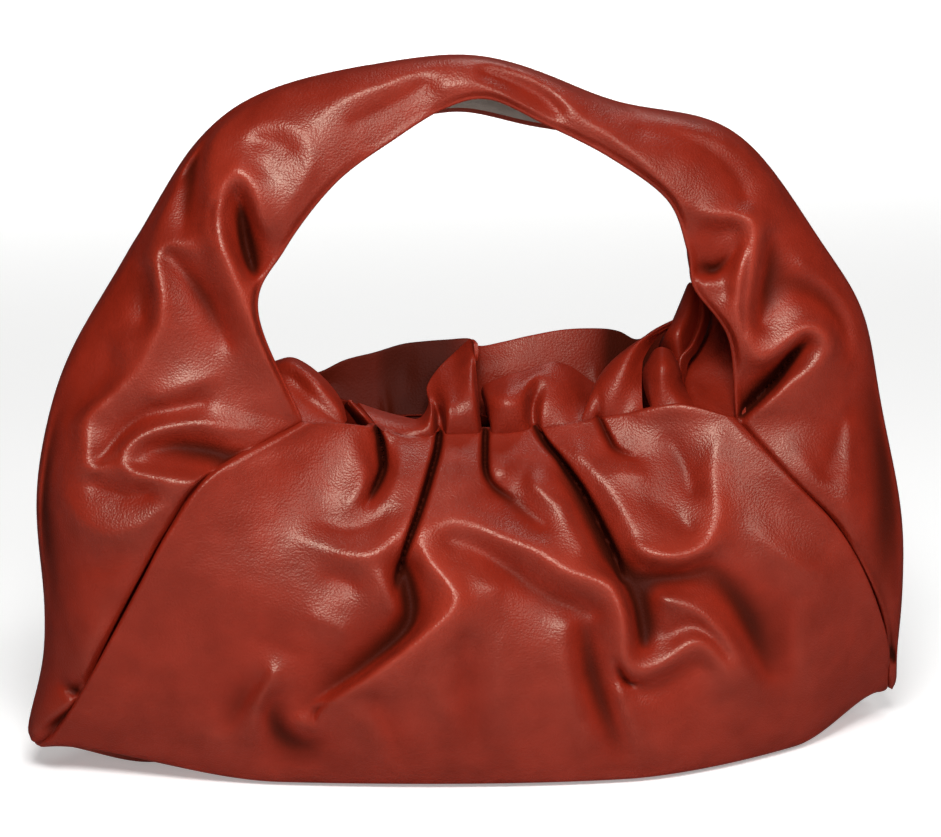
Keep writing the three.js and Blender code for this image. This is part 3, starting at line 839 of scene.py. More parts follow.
# Slits of the back panel: x, z and height in millimetres
BACK_SLITS: dict[str, Fold] = {
    "centre_slit": ((12, 156, -5), (16, 134, -7), (12, 118, -5), (6, 104, -1)),
    "left_slit": ((-32, 158, -4.5), (-40, 132, -6.5), (-50, 118, -4), (-62, 106, -0.5)),
    "right_slit": ((62, 160, -4.5), (70, 134, -6.5), (80, 120, -4), (94, 108, -0.5)),
    "short_slit": ((36, 156, -3.5), (38, 140, -4), (36, 130, -0.5)),
    "side_slit": ((-58, 160, -4), (-66, 144, -4), (-76, 134, -0.5)),
}

# Broad folds of the back panel
BACK_FOLDS: dict[str, Fold] = {
    "centre_left": ((2, 150, 2), (4, 132, 3), (-4, 112, 3)),
    "centre_right": ((24, 150, 2), (26, 132, 3), (24, 114, 3)),
    "centre_shade": ((16, 140, -3.5), (14, 122, -5.5), (8, 106, -3.5)),
    "left_shade": ((-40, 136, -3.5), (-50, 118, -5.5), (-62, 104, -3.5)),
    "left_cheek": ((-64, 136, 3), (-80, 118, 3.5)),
    "right_shade": ((70, 136, -3.5), (80, 120, -5.5), (94, 106, -3.5)),
    "right_cheek": ((92, 136, 3), (108, 120, 3.5)),
    "left_swag": ((-128, 112, 2), (-110, 98, 5.5), (-70, 76, 8.5), (-42, 74, 8.5), (-14, 84, 5)),
    "left_swag_shade": ((-104, 90, -2), (-72, 66, -3.5), (-44, 64, -3.5), (-16, 74, -1)),
    "right_swag": ((26, 98, 3), (46, 78, 7.5), (72, 66, 8.5), (104, 72, 7), (134, 88, 2)),
    "right_swag_shade": ((48, 68, -2.5), (74, 56, -4), (104, 62, -2)),
    "middle_ridge": ((4, 104, 3), (0, 86, 6), (8, 66, 6), (4, 50, 3)),
    "skirt_valley": ((-12, 60, -2), (-16, 40, -4.5), (-6, 18, -2)),
    "left_skirt": ((-92, 52, 3.5), (-84, 36, 3.5), (-88, 22, 2)),
}

# Broad folds of the band seen from the back
STRAP_BACK_FOLDS: dict[str, Fold] = {
    "left_arch": ((-122, 262, 7), (-114, 272, 9), (-104, 262, 7), (-100, 244, 3.5)),
    "left_arch_hollow": ((-112, 258, -3.5), (-108, 240, -7), (-104, 224, -3.5)),
    "left_long": ((-122, 262, 7), (-120, 244, 9), (-112, 222, 9), (-102, 196, 7), (-90, 174, 2.5)),
    "left_outer": ((-146, 236, 5.5), (-150, 212, 8), (-164, 188, 7), (-174, 166, 6.5), (-166, 150, 3.5)),
    "left_outer_hollow": ((-138, 226, -2.5), (-140, 204, -3.5), (-150, 182, -3.5)),
    "left_hip": ((-172, 130, 4.5), (-152, 136, 7), (-134, 142, 5.5)),
    "left_hip_hollow": ((-168, 146, -3.5), (-150, 150, -5.5), (-136, 154, -3.5)),
    "left_low": ((-182, 92, 3.5), (-172, 76, 4.5), (-168, 60, 2.5)),
    "crown": ((-40, 304, 2.5), (0, 310, 3.5), (30, 300, 4.5), (64, 284, 4.5), (92, 262, 3.5)),
    "right_long": (
        (100, 262, 4.5), (120, 246, 7), (124, 224, 8), (121, 202, 5), (130, 186, 2.5), (146, 184, 3),
        (160, 180, 2.5),
    ),
    "right_long_hollow": ((134, 240, -3.5), (134, 214, -5.5), (134, 196, -2)),
    "right_slit": ((156, 174, -3), (142, 166, -5), (130, 158, -4)),
    "right_hip": ((160, 164, 2.5), (148, 154, 4), (136, 144, 2.5)),
    "right_low": ((182, 104, 3.5), (174, 84, 4.5), (178, 62, 2.5)),
}


@dataclass(frozen=True)
class Clouds:
    """A noise on a surface: its clouds in a metre, and the finer detail inside them."""

    scale: float
    detail: float


@dataclass(frozen=True)
class Bump:
    """A bump in a finish: its strength, and its height in metres."""

    strength: float
    height: float


class Wire:
    """A socket of a shader node that takes part in Python arithmetic."""

    def __init__(self, book: NodeBook, socket: bpy.types.NodeSocket | None) -> None:
        """Keeps the socket and the book that adds its nodes."""
        self.book = book
        self.socket = socket

    def _maths(self, operation: str, first: Wire | float, second: Wire | float) -> Wire:
        """A Math node.

        Args:
            operation: What the node does.
            first: Its first value.
            second: Its second value.

        Returns:
            The node's result.
        """
        return self.book.node("ShaderNodeMath", {"operation": operation}, {0: first, 1: second})

    def __add__(self, other: Wire | float) -> Wire:
        """The sum of two values."""
        return self._maths("ADD", self, other)

    def __radd__(self, other: float) -> Wire:
        """The sum of a number and a value."""
        return self._maths("ADD", other, self)

    def __sub__(self, other: Wire | float) -> Wire:
        """The difference of two values."""
        return self._maths("SUBTRACT", self, other)

    def __rsub__(self, other: float) -> Wire:
        """A number less a value."""
        return self._maths("SUBTRACT", other, self)

    def __mul__(self, other: Wire | float) -> Wire:
        """The product of two values."""
        return self._maths("MULTIPLY", self, other)

    def __rmul__(self, other: float) -> Wire:
        """The product of a number and a value."""
        return self._maths("MULTIPLY", other, self)


class NodeBook:
    """Adds nodes to the tree of one material or world."""

    def __init__(self, tree: bpy.types.NodeTree) -> None:
        """Empties the tree."""
        self.tree = tree
        tree.nodes.clear()

    def node(
        self,
        kind: str,
        settings: dict[str, Any] | None = None,
        sockets: dict[str | int, Any] | None = None,
        output: str | int = 0,
    ) -> Wire:
        """Adds one node.

        Args:
            kind: The node's type.
            settings: Its settings, which are set first.
            sockets: Values or links of its sockets.
            output: Which of its outputs to give back.

        Returns:
            That output, or an empty wire from a node that has none.
        """
        made = self.tree.nodes.new(kind)
        for name, value in (settings or {}).items():
            setattr(made, name, value)
        for key, value in (sockets or {}).items():
            if isinstance(value, Wire):
                self.tree.links.new(value.socket, made.inputs[key])
            else:
                made.inputs[key].default_value = value
        return Wire(self, made.outputs[output] if len(made.outputs) else None)

    def blend(self, share: Wire | float, first: Wire | Colour, second: Wire | Colour) -> Wire:
        """A colour between two colours.

        Args:
            share: Share of the second colour.
            first: The first colour.
            second: The second colour.

        Returns:
            The mixed colour.
        """
        sockets = {0: share, MIX_FIRST: first, MIX_SECOND: second}
        return self.node("ShaderNodeMix", {"data_type": "RGBA"}, sockets, MIX_RESULT)

    def ramp(self, value: Wire, start: float, end: float) -> Wire:
        """A smooth share from 0 to 1.

        Args:
            value: The value to look at.
            start: Where the share is 0.
            end: Where the share is 1.

        Returns:
            The share.
        """
        settings = {"interpolation_type": "SMOOTHSTEP"}
        return self.node("ShaderNodeMapRange", settings, {0: value, 1: start, 2: end})

    def noise(self, place: Wire, clouds: Clouds) -> Wire:
        """A cloudy value between 0 and 1.

        Args:
            place: Where on the surface.
            clouds: How fine it is.

        Returns:
            The value.
        """
        sockets = {"Vector": place, "Scale": clouds.scale, "Detail": clouds.detail}
        return self.node("ShaderNodeTexNoise", None, sockets)

    def bump(self, bump: Bump, height: Wire, under: Wire | None = None) -> Wire:
        """A bumped normal.

        Args:
            bump: How strong it is.
            height: Where the surface rises.
            under: The normal that it is laid over.

        Returns:
            The normal.
        """
        sockets = {"Strength": bump.strength, "Distance": bump.height, "Height": height}
        if under is not None:
            sockets["Normal"] = under
        return self.node("ShaderNodeBump", None, sockets)


def new_material(name: str) -> tuple[bpy.types.Material, NodeBook]:
    """An empty material.

    Args:
        name: The finish's name.

    Returns:
        The material and the book of its nodes.
    """
    material = bpy.data.materials.new(name)
    material.use_nodes = True
    return material, NodeBook(material.node_tree)


@dataclass(frozen=True)
class Leather:
    """Rust-red calf leather with a fine pebbled grain, with painted shade in its creases and crests lighter
    from wear and a painted highlight.
    """

    name: str = "rust_leather"
    deep: Colour = (0.170, 0.0098, 0.0031, 1.0)
    rich: Colour = (0.252, 0.0148, 0.0045, 1.0)
    # Painted shade: the near-black colour that hollows, slits and the seams' dip are darkened towards
    painted_shade: Colour = (0.034, 0.0046, 0.0016, 1.0)
    # Partly wear and partly a painted highlight: the lighter colour given to the crests of folds
    wear_and_painted_highlight: Colour = (0.40, 0.036, 0.016, 1.0)
    sheen: Colour = (1.0, 0.86, 0.70, 1.0)
    broad: Clouds = Clouds(18.0, 3.0)
    mottle: Clouds = Clouds(75.0, 4.0)
    dents: Clouds = Clouds(30.0, 2.0)
    pores: Clouds = Clouds(2860.0, 2.0)
    pebbles: float = 1100.0
    pebble_smoothness: float = 0.6
    pebble_share: float = 0.8
    pore_share: float = 0.25
    dented: Bump = Bump(0.5, 0.004)
    wrinkled: Bump = Bump(0.25, 0.0012)
    grained: Bump = Bump(0.5, 0.0004)
    mottle_share: float = 0.5
    rich_span: Span = (0.22, 0.78)
    # Fold heights over which the painted shade deepens in hollows, and over which crests turn lighter with
    # wear and a painted highlight
    painted_shade_span: Span = (-0.5, -6.5)
    painted_shade_most: float = 0.92
    wear_and_highlight_span: Span = (3.0, 11.0)
    wear_and_highlight_most: float = 0.5
    rough: float = 0.35
    rough_mottle: float = 0.14
    rough_pebble: float = 0.10
    shine: float = 0.72
    dull_span: Span = (4.0, -5.5)
    dull_rough: float = 0.6
    dull_shine: float = 0.06

    def material(self) -> bpy.types.Material:
        """The finish as a material.

        Returns:
            The material, dull in the hollows of folds and polished on their crests.
        """
        material, book = new_material(self.name)
        place = book.node("ShaderNodeTexCoord", output="Object")
        fold = book.node("ShaderNodeAttribute", {"attribute_name": FOLD_AND_SHADE_ATTRIBUTE}, output="Fac")
        broad = book.noise(place, self.broad)
        mottle = book.noise(place, self.mottle)
        cells = {"Vector": place, "Scale": self.pebbles, "Smoothness": self.pebble_smoothness}
        pebble = book.node("ShaderNodeTexVoronoi", {"feature": "SMOOTH_F1"}, cells, "Distance")
        patches = self.mottle_share * mottle + (1 - self.mottle_share) * broad
        ground = book.blend(book.ramp(patches, *self.rich_span), self.deep, self.rich)
        # Painted shade: the colour darkens in the hollows of folds, in slits and in the seams' dip
        sunk = book.blend(self.painted_shade_most * book.ramp(fold, *self.painted_shade_span), ground, self.painted_shade)
        # The crests of folds are painted lighter, partly as wear and partly as a painted highlight
        colour = book.blend(self.wear_and_highlight_most * book.ramp(fold, *self.wear_and_highlight_span), sunk, self.wear_and_painted_highlight)
        dented = book.bump(self.dented, book.noise(place, self.dents))
        wrinkled = book.bump(self.wrinkled, mottle, dented)
        grain = self.pebble_share * pebble + self.pore_share * book.noise(place, self.pores)
        skin = {"Base Color": colour, "Normal": book.bump(self.grained, grain, wrinkled)}
        rough = self.rough + self.rough_mottle * (mottle - 0.5) + self.rough_pebble * pebble
        polish = {"Roughness": rough, "Specular IOR Level": self.shine, "Specular Tint": self.sheen}
        dull = {"Roughness": self.dull_rough, "Specular IOR Level": self.dull_shine}
        crest = book.node("ShaderNodeBsdfPrincipled", None, {**skin, **polish})
        hollow = book.node("ShaderNodeBsdfPrincipled", None, {**skin, **dull})
        parts = {0: book.ramp(fold, *self.dull_span), 1: crest, 2: hollow}
        mixed = book.node("ShaderNodeMixShader", None, parts)
        book.node("ShaderNodeOutputMaterial", None, {"Surface": mixed})
        return material


@dataclass(frozen=True)
class Suede:
    """Matt grey-brown suede with a short nap."""

    name: str = "grey_suede"
    dark: Colour = (0.170, 0.135, 0.115, 1.0)
    pale: Colour = (0.360, 0.310, 0.275, 1.0)
    brushed: Clouds = Clouds(120.0, 5.0)
    nap: Clouds = Clouds(1700.0, 3.0)
    brushed_share: float = 0.6
    napped: Bump = Bump(0.5, 0.0003)
    rough: float = 0.86
    rough_nap: float = 0.1
    shine: float = 0.2
    fuzz: float = 0.25

    def material(self) -> bpy.types.Material:
        """The finish as a material.

        Returns:
            The material.
        """
        material, book = new_material(self.name)
        place = book.node("ShaderNodeTexCoord", output="Object")
        brushed = book.noise(place, self.brushed)
        nap = book.noise(place, self.nap)
        shade = self.brushed_share * brushed + (1 - self.brushed_share) * nap
        sockets = {
            "Base Color": book.blend(shade, self.dark, self.pale),
            "Roughness": self.rough + self.rough_nap * nap,
            "Normal": book.bump(self.napped, nap),
            "Specular IOR Level": self.shine,
            "Sheen Weight": self.fuzz,
        }
        skin = book.node("ShaderNodeBsdfPrincipled", None, sockets)
        book.node("ShaderNodeOutputMaterial", None, {"Surface": skin})
        return material


@dataclass(frozen=True)
class PaleFloor:
    """A matt near-white studio floor."""

    name: str = "pale_floor"
    colour: Colour = (0.92, 0.92, 0.915, 1.0)
    glow: float = 0.34
    rough: float = 0.9
    shine: float = 0.1

    def material(self) -> bpy.types.Material:
        """The finish as a material.

        Returns:
            The material.
        """
        material, book = new_material(self.name)
        paper = {"Base Color": self.colour, "Roughness": self.rough, "Specular IOR Level": self.shine}
        glow = {"Emission Color": self.colour, "Emission Strength": self.glow}
        skin = book.node("ShaderNodeBsdfPrincipled", None, {**paper, **glow})
        book.node("ShaderNodeOutputMaterial", None, {"Surface": skin})
        return material


@dataclass
class Skin:
    """Points and faces of one piece, gathered before they become a mesh."""

    points: list[np.ndarray] = field(default_factory=list)
    heights: list[np.ndarray] = field(default_factory=list)
    faces: list[list[int]] = field(default_factory=list)

    def add(self, grid: np.ndarray, height: np.ndarray | None = None) -> np.ndarray:
        """Adds a grid of points.

        Args:
            grid: Points by row and column, in millimetres.
            height: Height of the folds at each point, or a given painted shade, from which the leather paints
                shade and highlight.

        Returns:
            The points' numbers, by row and column.
        """
        first = sum(len(part) for part in self.points)
        flat = grid.reshape(-1, 3)
        self.points.append(flat)
        self.heights.append(np.zeros(len(flat)) if height is None else height.reshape(-1))
        return np.arange(first, first + len(flat)).reshape(grid.shape[:2])

    def face(self, numbers: np.ndarray) -> None:
        """Adds the faces between neighbours in a grid of point numbers."""
        corners = [numbers[:-1, :-1], numbers[:-1, 1:], numbers[1:, 1:], numbers[1:, :-1]]
        self.faces.extend(np.stack(corners, axis=-1).reshape(-1, len(corners)).tolist())

    def cap(self, outer: np.ndarray, inner: np.ndarray) -> None:
        """Closes the end of a wall.

        Args:
            outer: Point numbers along the outer edge.
            inner: Fewer point numbers along the inner edge, each of them beside an outer one.
        """
        step = (len(outer) - 1) // (len(inner) - 1)
        for k in range(len(inner) - 1):
            edge = outer[k * step : (k + 1) * step + 1].tolist()
            self.faces.append(edge + [int(inner[k + 1]), int(inner[k])])

    def close(self, outer: np.ndarray, inner: np.ndarray) -> None:
        """Closes all four ends of a wall.

        Args:
            outer: Point numbers of the outer face, by row and column.
            inner: Point numbers of the inner face, which may be fewer.
        """
        for shell, lined in ((outer, inner), (outer.T, inner.T)):
            for edge in (0, -1):
                self.cap(shell[edge], lined[edge])

    def piece(self, name: str) -> bpy.types.Object:
        """Makes the mesh and its object.

        Args:
            name: The piece's name.

        Returns:
            The object, linked to the scene.
        """
        points = np.concatenate(self.points)
        mesh = bpy.data.meshes.new(name)
        mesh.from_pydata((points * MILLIMETRE).tolist(), [], self.faces)
        # The heights become the attribute from which the leather paints shade in hollows and a highlight on
        # crests
        attribute = mesh.attributes.new(FOLD_AND_SHADE_ATTRIBUTE, "FLOAT", "POINT")
        attribute.data.foreach_set("value", np.concatenate(self.heights).astype(np.float32))
        faces = bmesh.new()
        faces.from_mesh(mesh)
        bmesh.ops.recalc_face_normals(faces, faces=faces.faces)
        faces.to_mesh(mesh)
        faces.free()
        mesh.shade_smooth()
        mesh.set_sharp_from_angle(angle=SHARP_ANGLE)
        mesh.validate()
        return add_object(name, mesh)


def dress(piece: bpy.types.Object, finish: bpy.types.Material, nodes: Sequence[str]) -> None:
    """Gives a piece its finish and its place in the frame.

    Args:
        piece: The piece.
        finish: Its material.
        nodes: The solids that the piece stands for.
    """
    piece.data.materials.append(finish)
    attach(piece, BODY)
    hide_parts(*nodes)
    corners = np.array([corner[:] for corner in piece.bound_box])
    size = (corners.max(axis=0) - corners.min(axis=0)) / MILLIMETRE
    LOG.info("%s: %d faces, %.0f x %.0f x %.0f mm", piece.name, len(piece.data.polygons), *size)


@dataclass(frozen=True)
class Station:
    """One level of the pouch: its seams to the band and its middle, with depths from the middle plane."""

    left: Point
    middle: tuple[float, float]
    right: Point
    peak: float
    swell: float


@dataclass(frozen=True)
class PouchForm:
    """The plain pouch under its folds."""

    stations: tuple[Station, ...] = (
        Station((-82, 36, 164), (17, 149), (114, 36, 155), 0.5, 2.5),
        Station((-125, 50, 147), (42, 132), (137, 50, 129), 0.5, 2.5),
        Station((-144, 50, 123), (62, 108), (159, 50, 105), 0.55, 2.4),
        Station((-158, 46, 96), (76, 80), (175, 46, 77), 0.58, 2.2),
        Station((-181, 30, 46), (80, 40), (189, 30, 44), 0.62, 2.0),
        Station((-192, 13, 21), (76, 9), (194, 14, 24), 0.65, 1.7),
        Station((-197, 4, 14), (62, 0), (197, 5, 15), 0.65, 1.6),
        Station((-199, 0, 13), (0, 0), (197, 0, 11), 0.65, 1.6),
    )
    gather: tuple[tuple[float, float], ...] = (
        (36, 164), (26, 159), (20, 151), (17, 150), (17, 149), (19, 152), (22, 156), (28, 162), (36, 155),
    )
    flat_share: float = 0.6

    def gathered(self, side: Side, shares: np.ndarray) -> np.ndarray:
        """Points of the gathered line.

        Args:
            side: The half of the bag.
            shares: Shares of the way from the left mouth corner to the right one.

        Returns:
            A point for each share.
        """
        rows = np.array(self.gather, float)
        x = np.linspace(self.stations[0].left[0], self.stations[0].right[0], len(rows))
        knots = np.stack([x, side.value * rows[:, 0], rows[:, 1]], axis=-1)
        return spline(knots, shares * (len(rows) - 1))

    def level(self, station: Station, side: Side, shares: np.ndarray) -> np.ndarray:
        """Points of one station.

        Args:
            station: The station.
            side: The half of the bag.
            shares: Shares of the way from the left seam to the right one.

        Returns:
            A point for each share.
        """
        top = station.peak if side is Side.FRONT else 1 - station.peak
        swing = np.where(shares < top, (top - shares) / top, (shares - top) / (1 - top))
        left = np.array(station.left, float)
        points = left + (np.array(station.right) - left) * shares[:, None]
        bulge = 1 - swing**station.swell
        settled = 1 - smoothstep(swing, self.flat_share, 1)
        points[:, 1] += (station.middle[0] - points[:, 1]) * bulge
        points[:, 2] += (station.middle[1] - points[:, 2]) * settled
        points[:, 1] *= side.value
        return points

    def ribs(self, side: Side, shares: np.ndarray, places: np.ndarray) -> np.ndarray:
        """Points of the plain panel.

        Args:
            side: The half of the bag.
            shares: Shares of the way from the left seam to the right one, one for each column.
            places: Places from the mouth down, counted in stations, one for each row.

        Returns:
            Points by row and column.
        """
        levels = [self.level(station, side, shares) for station in self.stations[1:]]
        return spline(np.stack([self.gathered(side, shares), *levels]), places)


@dataclass
class Pouch:
    """The front and back panels of the pouch, with their folds."""

    form: PouchForm
    photo: PhotoView
    columns: int = 340
    near_seam: tuple[float, ...] = (0.0, 0.001, 0.002, 0.0035, 0.0055, 0.008, 0.0115)
    rows: tuple[int, ...] = (32, 32, 32, 40, 32, 14, 18)
    inner_skip: int = 4
    held_rows: float = 0.5
    seam_roll: float = 2.2
    seam_tuck: float = 0.8
    roll_rise: float = 0.8
    roll_reach: float = 7.0
    clear: Span = (2.0, 16.0)
    fade_in: float = 6.0
    tops: dict[Side, np.ndarray] = field(default_factory=dict)

    def fades(self, grid: np.ndarray) -> tuple[np.ndarray, np.ndarray]:
        """How folds die away and how the seam edges roll.

        Args:
            grid: Points of the plain panel.

        Returns:
            Share of the folds' height, and height of the seam's roll, for each point.
        """
        edge = from_edge(grid)
        grounded = smoothstep(grid[..., 2], *self.clear)
        turned = np.exp(-edge / self.roll_rise)
        roll = self.seam_roll * (1 - turned) * np.exp(-edge / self.roll_reach) - self.seam_tuck * turned
        return smoothstep(edge, 0, self.fade_in) * grounded, roll * grounded

    def draping(self, side: Side) -> Draping:
        """The folds of one panel.

        Args:
            side: The half of the bag.

        Returns:
            The folds, on the photo for the front and on a plain view for the back.
        """
        if side is Side.FRONT:
            broad = Relief(FRONT_FOLDS, PHOTO_AREA, cell=2.0, span=32.0, soften=2.0)
            narrow = Grooves(FRONT_SLITS, PHOTO_AREA, cell=1.0, width=3.5)
            return Draping(self.photo, (broad, narrow))
        broad = Relief(BACK_FOLDS, BACK_AREA, cell=1.0, span=16.0, soften=2.0)
        narrow = Grooves(BACK_SLITS, BACK_AREA, cell=1.0, width=2.1)
        return Draping(PlainView(side), (broad, narrow))

    def panel(self, side: Side) -> bpy.types.Object:
        """Builds one panel.

        Args:
            side: The half of the bag.

        Returns:
            The panel's object.
        """
        width = self.form.stations[0].right[0] - self.form.stations[0].left[0]
        drawn_back = SEAM_GAP / width
        shares = drawn_back + (1 - 2 * drawn_back) * close_at_ends(self.near_seam, self.columns)
        places = split(self.rows)
        plain = self.form.ribs(side, shares, places)
        plain[..., 2] = np.maximum(plain[..., 2], 0)
        plain[..., 1] = side.value * np.maximum(side.value * plain[..., 1], SEAM_GAP / 2)
        out = grid_normals(plain, side.value)
        fade, roll = self.fades(plain)
        draping = self.draping(side)
        height = draping.heights(plain, out, fade)
        toward = draping.view.toward(plain)
        toward[..., 2] *= smoothstep(places, 0, self.held_rows)[:, None]
        outer = plain + toward * height[..., None] + out * roll[..., None]
        outer[..., 2] = np.maximum(outer[..., 2], 0)
        self.tops[side] = outer[0]
        out[0] = (0, side.value, 0)
        reach = (self.inner_skip, self.inner_skip)
        sunk = lowest(roll, reach) - LEATHER_WALL
        inner = plain + toward * lowest(height, reach)[..., None] + out * sunk[..., None]
        skin = Skin()
        # From these heights the leather is painted darker in slits and hollows and lighter on crests
        shell = skin.add(outer, draping.painted_shade_heights(plain, height))
        lined = skin.add(inner[:: self.inner_skip, :: self.inner_skip])
        skin.face(shell)
        skin.face(lined)
        skin.close(shell, lined)
        return skin.piece(f"{side.name.lower()}_leather")

    def build(self, leather: bpy.types.Material) -> None:
        """Builds and dresses both panels."""
        for side in Side:
            dress(self.panel(side), leather, [f"{side.name.lower()}_panel"])


@dataclass(frozen=True)
class Lip:
    """A place on the strap's free lips: the front lip, and how far the back one drops and shifts."""

    x: float
    depth: float
    z: float
    drop: float = 0.0
    shift: float = 0.0


@dataclass
class Band:
    """The wide band that makes both gussets and the strap, and the strap's suede lining."""

    form: PouchForm
    photo: PhotoView
    outer_edge: tuple[Point, ...] = (
        (-200, 0, 14), (-201, 1, 21), (-191, 2, 53), (-192, 2, 87), (-195, 2, 116), (-192, 2, 145),
        (-180, 2, 188), (-156, 3, 224), (-134, 4, 261), (-108, 5, 295), (-70, 5, 309), (-30, 4, 315),
        (1, 4, 317), (35, 4, 307), (71, 3, 290), (117, 2, 282), (145, 1, 251), (164, 0, 221),
        (182, 0, 197), (189, 0, 156), (197, 0, 119), (201, 0, 94), (200, 0, 70), (198, 0, 38),
        (201, 0, 18), (200, 0, 11),
    )
    lips: tuple[Lip, ...] = (
        Lip(-101, 34, 214), Lip(-89, 33, 241), Lip(-66, 31, 269, 2), Lip(-39, 28, 287, 6),
        Lip(-16, 25, 299, 13), Lip(4, 24, 302, 15), Lip(29, 25, 290, 10, 2), Lip(57, 28, 275, 4, 8),
        Lip(83, 31, 255, 2, 14), Lip(92, 33, 232, 0, 16), Lip(95, 34, 215, 0, 14), Lip(111, 35, 191, 0, 2),
    )
    seam_rows: int = 6
    fullness: float = 0.75
    row_step: float = 1.75
    least_rows: int = 3
    drawn: int = 121
    columns: int = 130
    front_bias: float = 0.35
    near_lip: tuple[float, ...] = (0.0, 0.0018, 0.0036, 0.006, 0.009, 0.0135)
    inner_skip: int = 7
    lap: float = 0.0065
    lap_from: Span = (3.4, 4.6)
    seam_dip: float = 1.8
    dip_reach: float = 4.0
    kink_rows: float = 9.0
    kink_reach: float = 40.0
    turned: float = 0.12
    clear: Span = (4.0, 16.0)
    fade_in: float = 3.0
    lined: Span = (9.0, 15.0)
    lining_skip: tuple[int, int] = (2, 3)
    lining_inset: tuple[int, int] = (6, 3)
    lengths: tuple[str, ...] = ("left_gusset", "strap_left", "strap_crown", "strap_right", "right_gusset")

    def places(self) -> np.ndarray:
        """Places of the sections along the band, counted in rows of its outer edge."""
        knots = np.array(self.outer_edge, float)
        return even_steps(np.linalg.norm(np.diff(knots, axis=0), axis=1), self.row_step, self.least_rows)

    def shares(self) -> np.ndarray:
        """Shares of a section's length at the band's columns, closest at the lips and wider at the back."""
        even = close_at_ends(self.near_lip, self.columns)
        return even + self.front_bias * even * (even - 1) * (1 - smoothstep(even, 0.5, 1))

    def lip(self, side: Side, places: np.ndarray) -> np.ndarray:
        """Points of one lip of the band.

        Args:
            side: The half of the bag.
            places: Places along the band.

        Returns:
            A point for each place.
        """
        last = len(self.outer_edge) - 1
        ends = self.form.stations[0]
        sign = side.value
        shifted = side is Side.BACK
        free = [(p.x + p.shift * shifted, sign * p.depth, p.z - p.drop * shifted) for p in self.lips]
        corners = [(x, sign * depth, z) for x, depth, z in (ends.left, ends.right)]
        handle = np.array([corners[0], *free, corners[1]], float)
        points = spline(handle, np.clip(places - self.seam_rows, 0, len(handle) - 1))
        for start, depth in ((0.0, self.seam_rows - places), (1.0, places - (last - self.seam_rows))):
            sewn = depth >= 0
            inside = start + self.lap * (1 - 2 * start)
            seam = self.form.ribs(side, np.array([start, inside]), depth[sewn])
            lapped = smoothstep(depth[sewn], *self.lap_from)[:, None]
            points[sewn] = seam[:, 0] + (seam[:, 1] - seam[:, 0]) * lapped
        return points

    def sections(self) -> np.ndarray:
        """Points of the plain band.

        Returns:
            Points by section, and from the front lip round to the back one.
        """
        places = self.places()
        front = self.lip(Side.FRONT, places)
        back = self.lip(Side.BACK, places)
        reach = spline(np.array(self.outer_edge, float), places) - (front + back) / 2
        turn = np.linspace(-math.pi / 2, math.pi / 2, self.drawn)
        across = ((1 + np.sin(turn)) / 2)[None, :, None]
        out = (np.maximum(np.cos(turn), 0) ** self.fullness)[None, :, None]
        drawn = front[:, None] * (1 - across) + back[:, None] * across + reach[:, None] * out
        cut = np.stack([self._evenly(row, self.shares()) for row in drawn])
        eased = smoothstep(from_edge(cut), 0, self.kink_reach)[..., None]
        return cut + (blurred(cut, self.kink_rows, 0) - cut) * eased

    @staticmethod
    def _evenly(line: np.ndarray, wanted: np.ndarray) -> np.ndarray:
        """Points at shares of a line's length.

        Args:
            line: Points along the line.
            wanted: The shares.

        Returns:
            A point for each share.
        """
        run = np.linalg.norm(np.diff(line, axis=0), axis=1)
        length = np.concatenate([[0], np.cumsum(run)])
        return np.stack([np.interp(wanted * length[-1], length, line[:, k]) for k in range(3)], axis=-1)

    def heights(self, plain: np.ndarray, out: np.ndarray) -> tuple[np.ndarray, ...]:
        """Heights of the band's folds.

        Args:
            plain: Points of the plain band.
            out: Their outward normals.

        Returns:
            Heights of the front's folds and the back's, depths of the dip beside the seams, and heights for
            painted shade and highlight.
        """
        edge = from_edge(plain)
        grounded = smoothstep(plain[..., 2], *self.clear)
        fade = grounded * smoothstep(edge, 0, self.fade_in)
        broad = Relief(STRAP_FRONT_FOLDS, PHOTO_AREA, cell=2.0, span=32.0, soften=1.7)
        narrow = Grooves(STRAP_SLITS, PHOTO_AREA, cell=2.0, width=4.5)
        rear = Relief(STRAP_BACK_FOLDS, STRAP_BACK_AREA, cell=1.0, span=16.0, soften=2.0)
        across = 2 * self.shares() - 1
        ahead = smoothstep(-across, 0, self.turned)
        behind = smoothstep(across, 0, self.turned)
        draping = Draping(self.photo, (broad, narrow))
        front = draping.heights(plain, out, fade * ahead)
        back = Draping(PlainView(Side.BACK), (rear,)).heights(plain, out, fade * behind)
        last = len(self.outer_edge) - 1
        places = self.places()
        sewn = ((places <= self.seam_rows) | (places >= last - self.seam_rows))[:, None]
        dip = self.seam_dip * np.exp(-edge / self.dip_reach) * grounded * sewn
        # The last heights paint shade in slits, hollows and the seams' dip, and a highlight on crests
        return front, back, dip, draping.painted_shade_heights(plain, front) + back - dip

    def lining(self, inner: np.ndarray, out: np.ndarray) -> bpy.types.Object:
        """Builds the suede lining inside the strap.

        Args:
            inner: Inner points of the band.
            out: Its outward normals.

        Returns:
            The lining's object.
        """
        places = self.places()
        kept = np.flatnonzero((places >= self.lined[0]) & (places <= self.lined[1]))
        columns = np.arange(self.lining_inset[0], inner.shape[1] - self.lining_inset[1])
        chosen = np.ix_(kept[:: self.lining_skip[0]], columns[:: self.lining_skip[1]])
        skin = Skin()
        shell = skin.add((inner - out * LINING_GAP)[chosen])
        shown = skin.add((inner - out * (LINING_GAP + LINING_WALL))[chosen])
        skin.face(shell[:, ::-1])
        skin.face(shown)
        skin.close(shell, shown)
        return skin.piece("strap_suede")

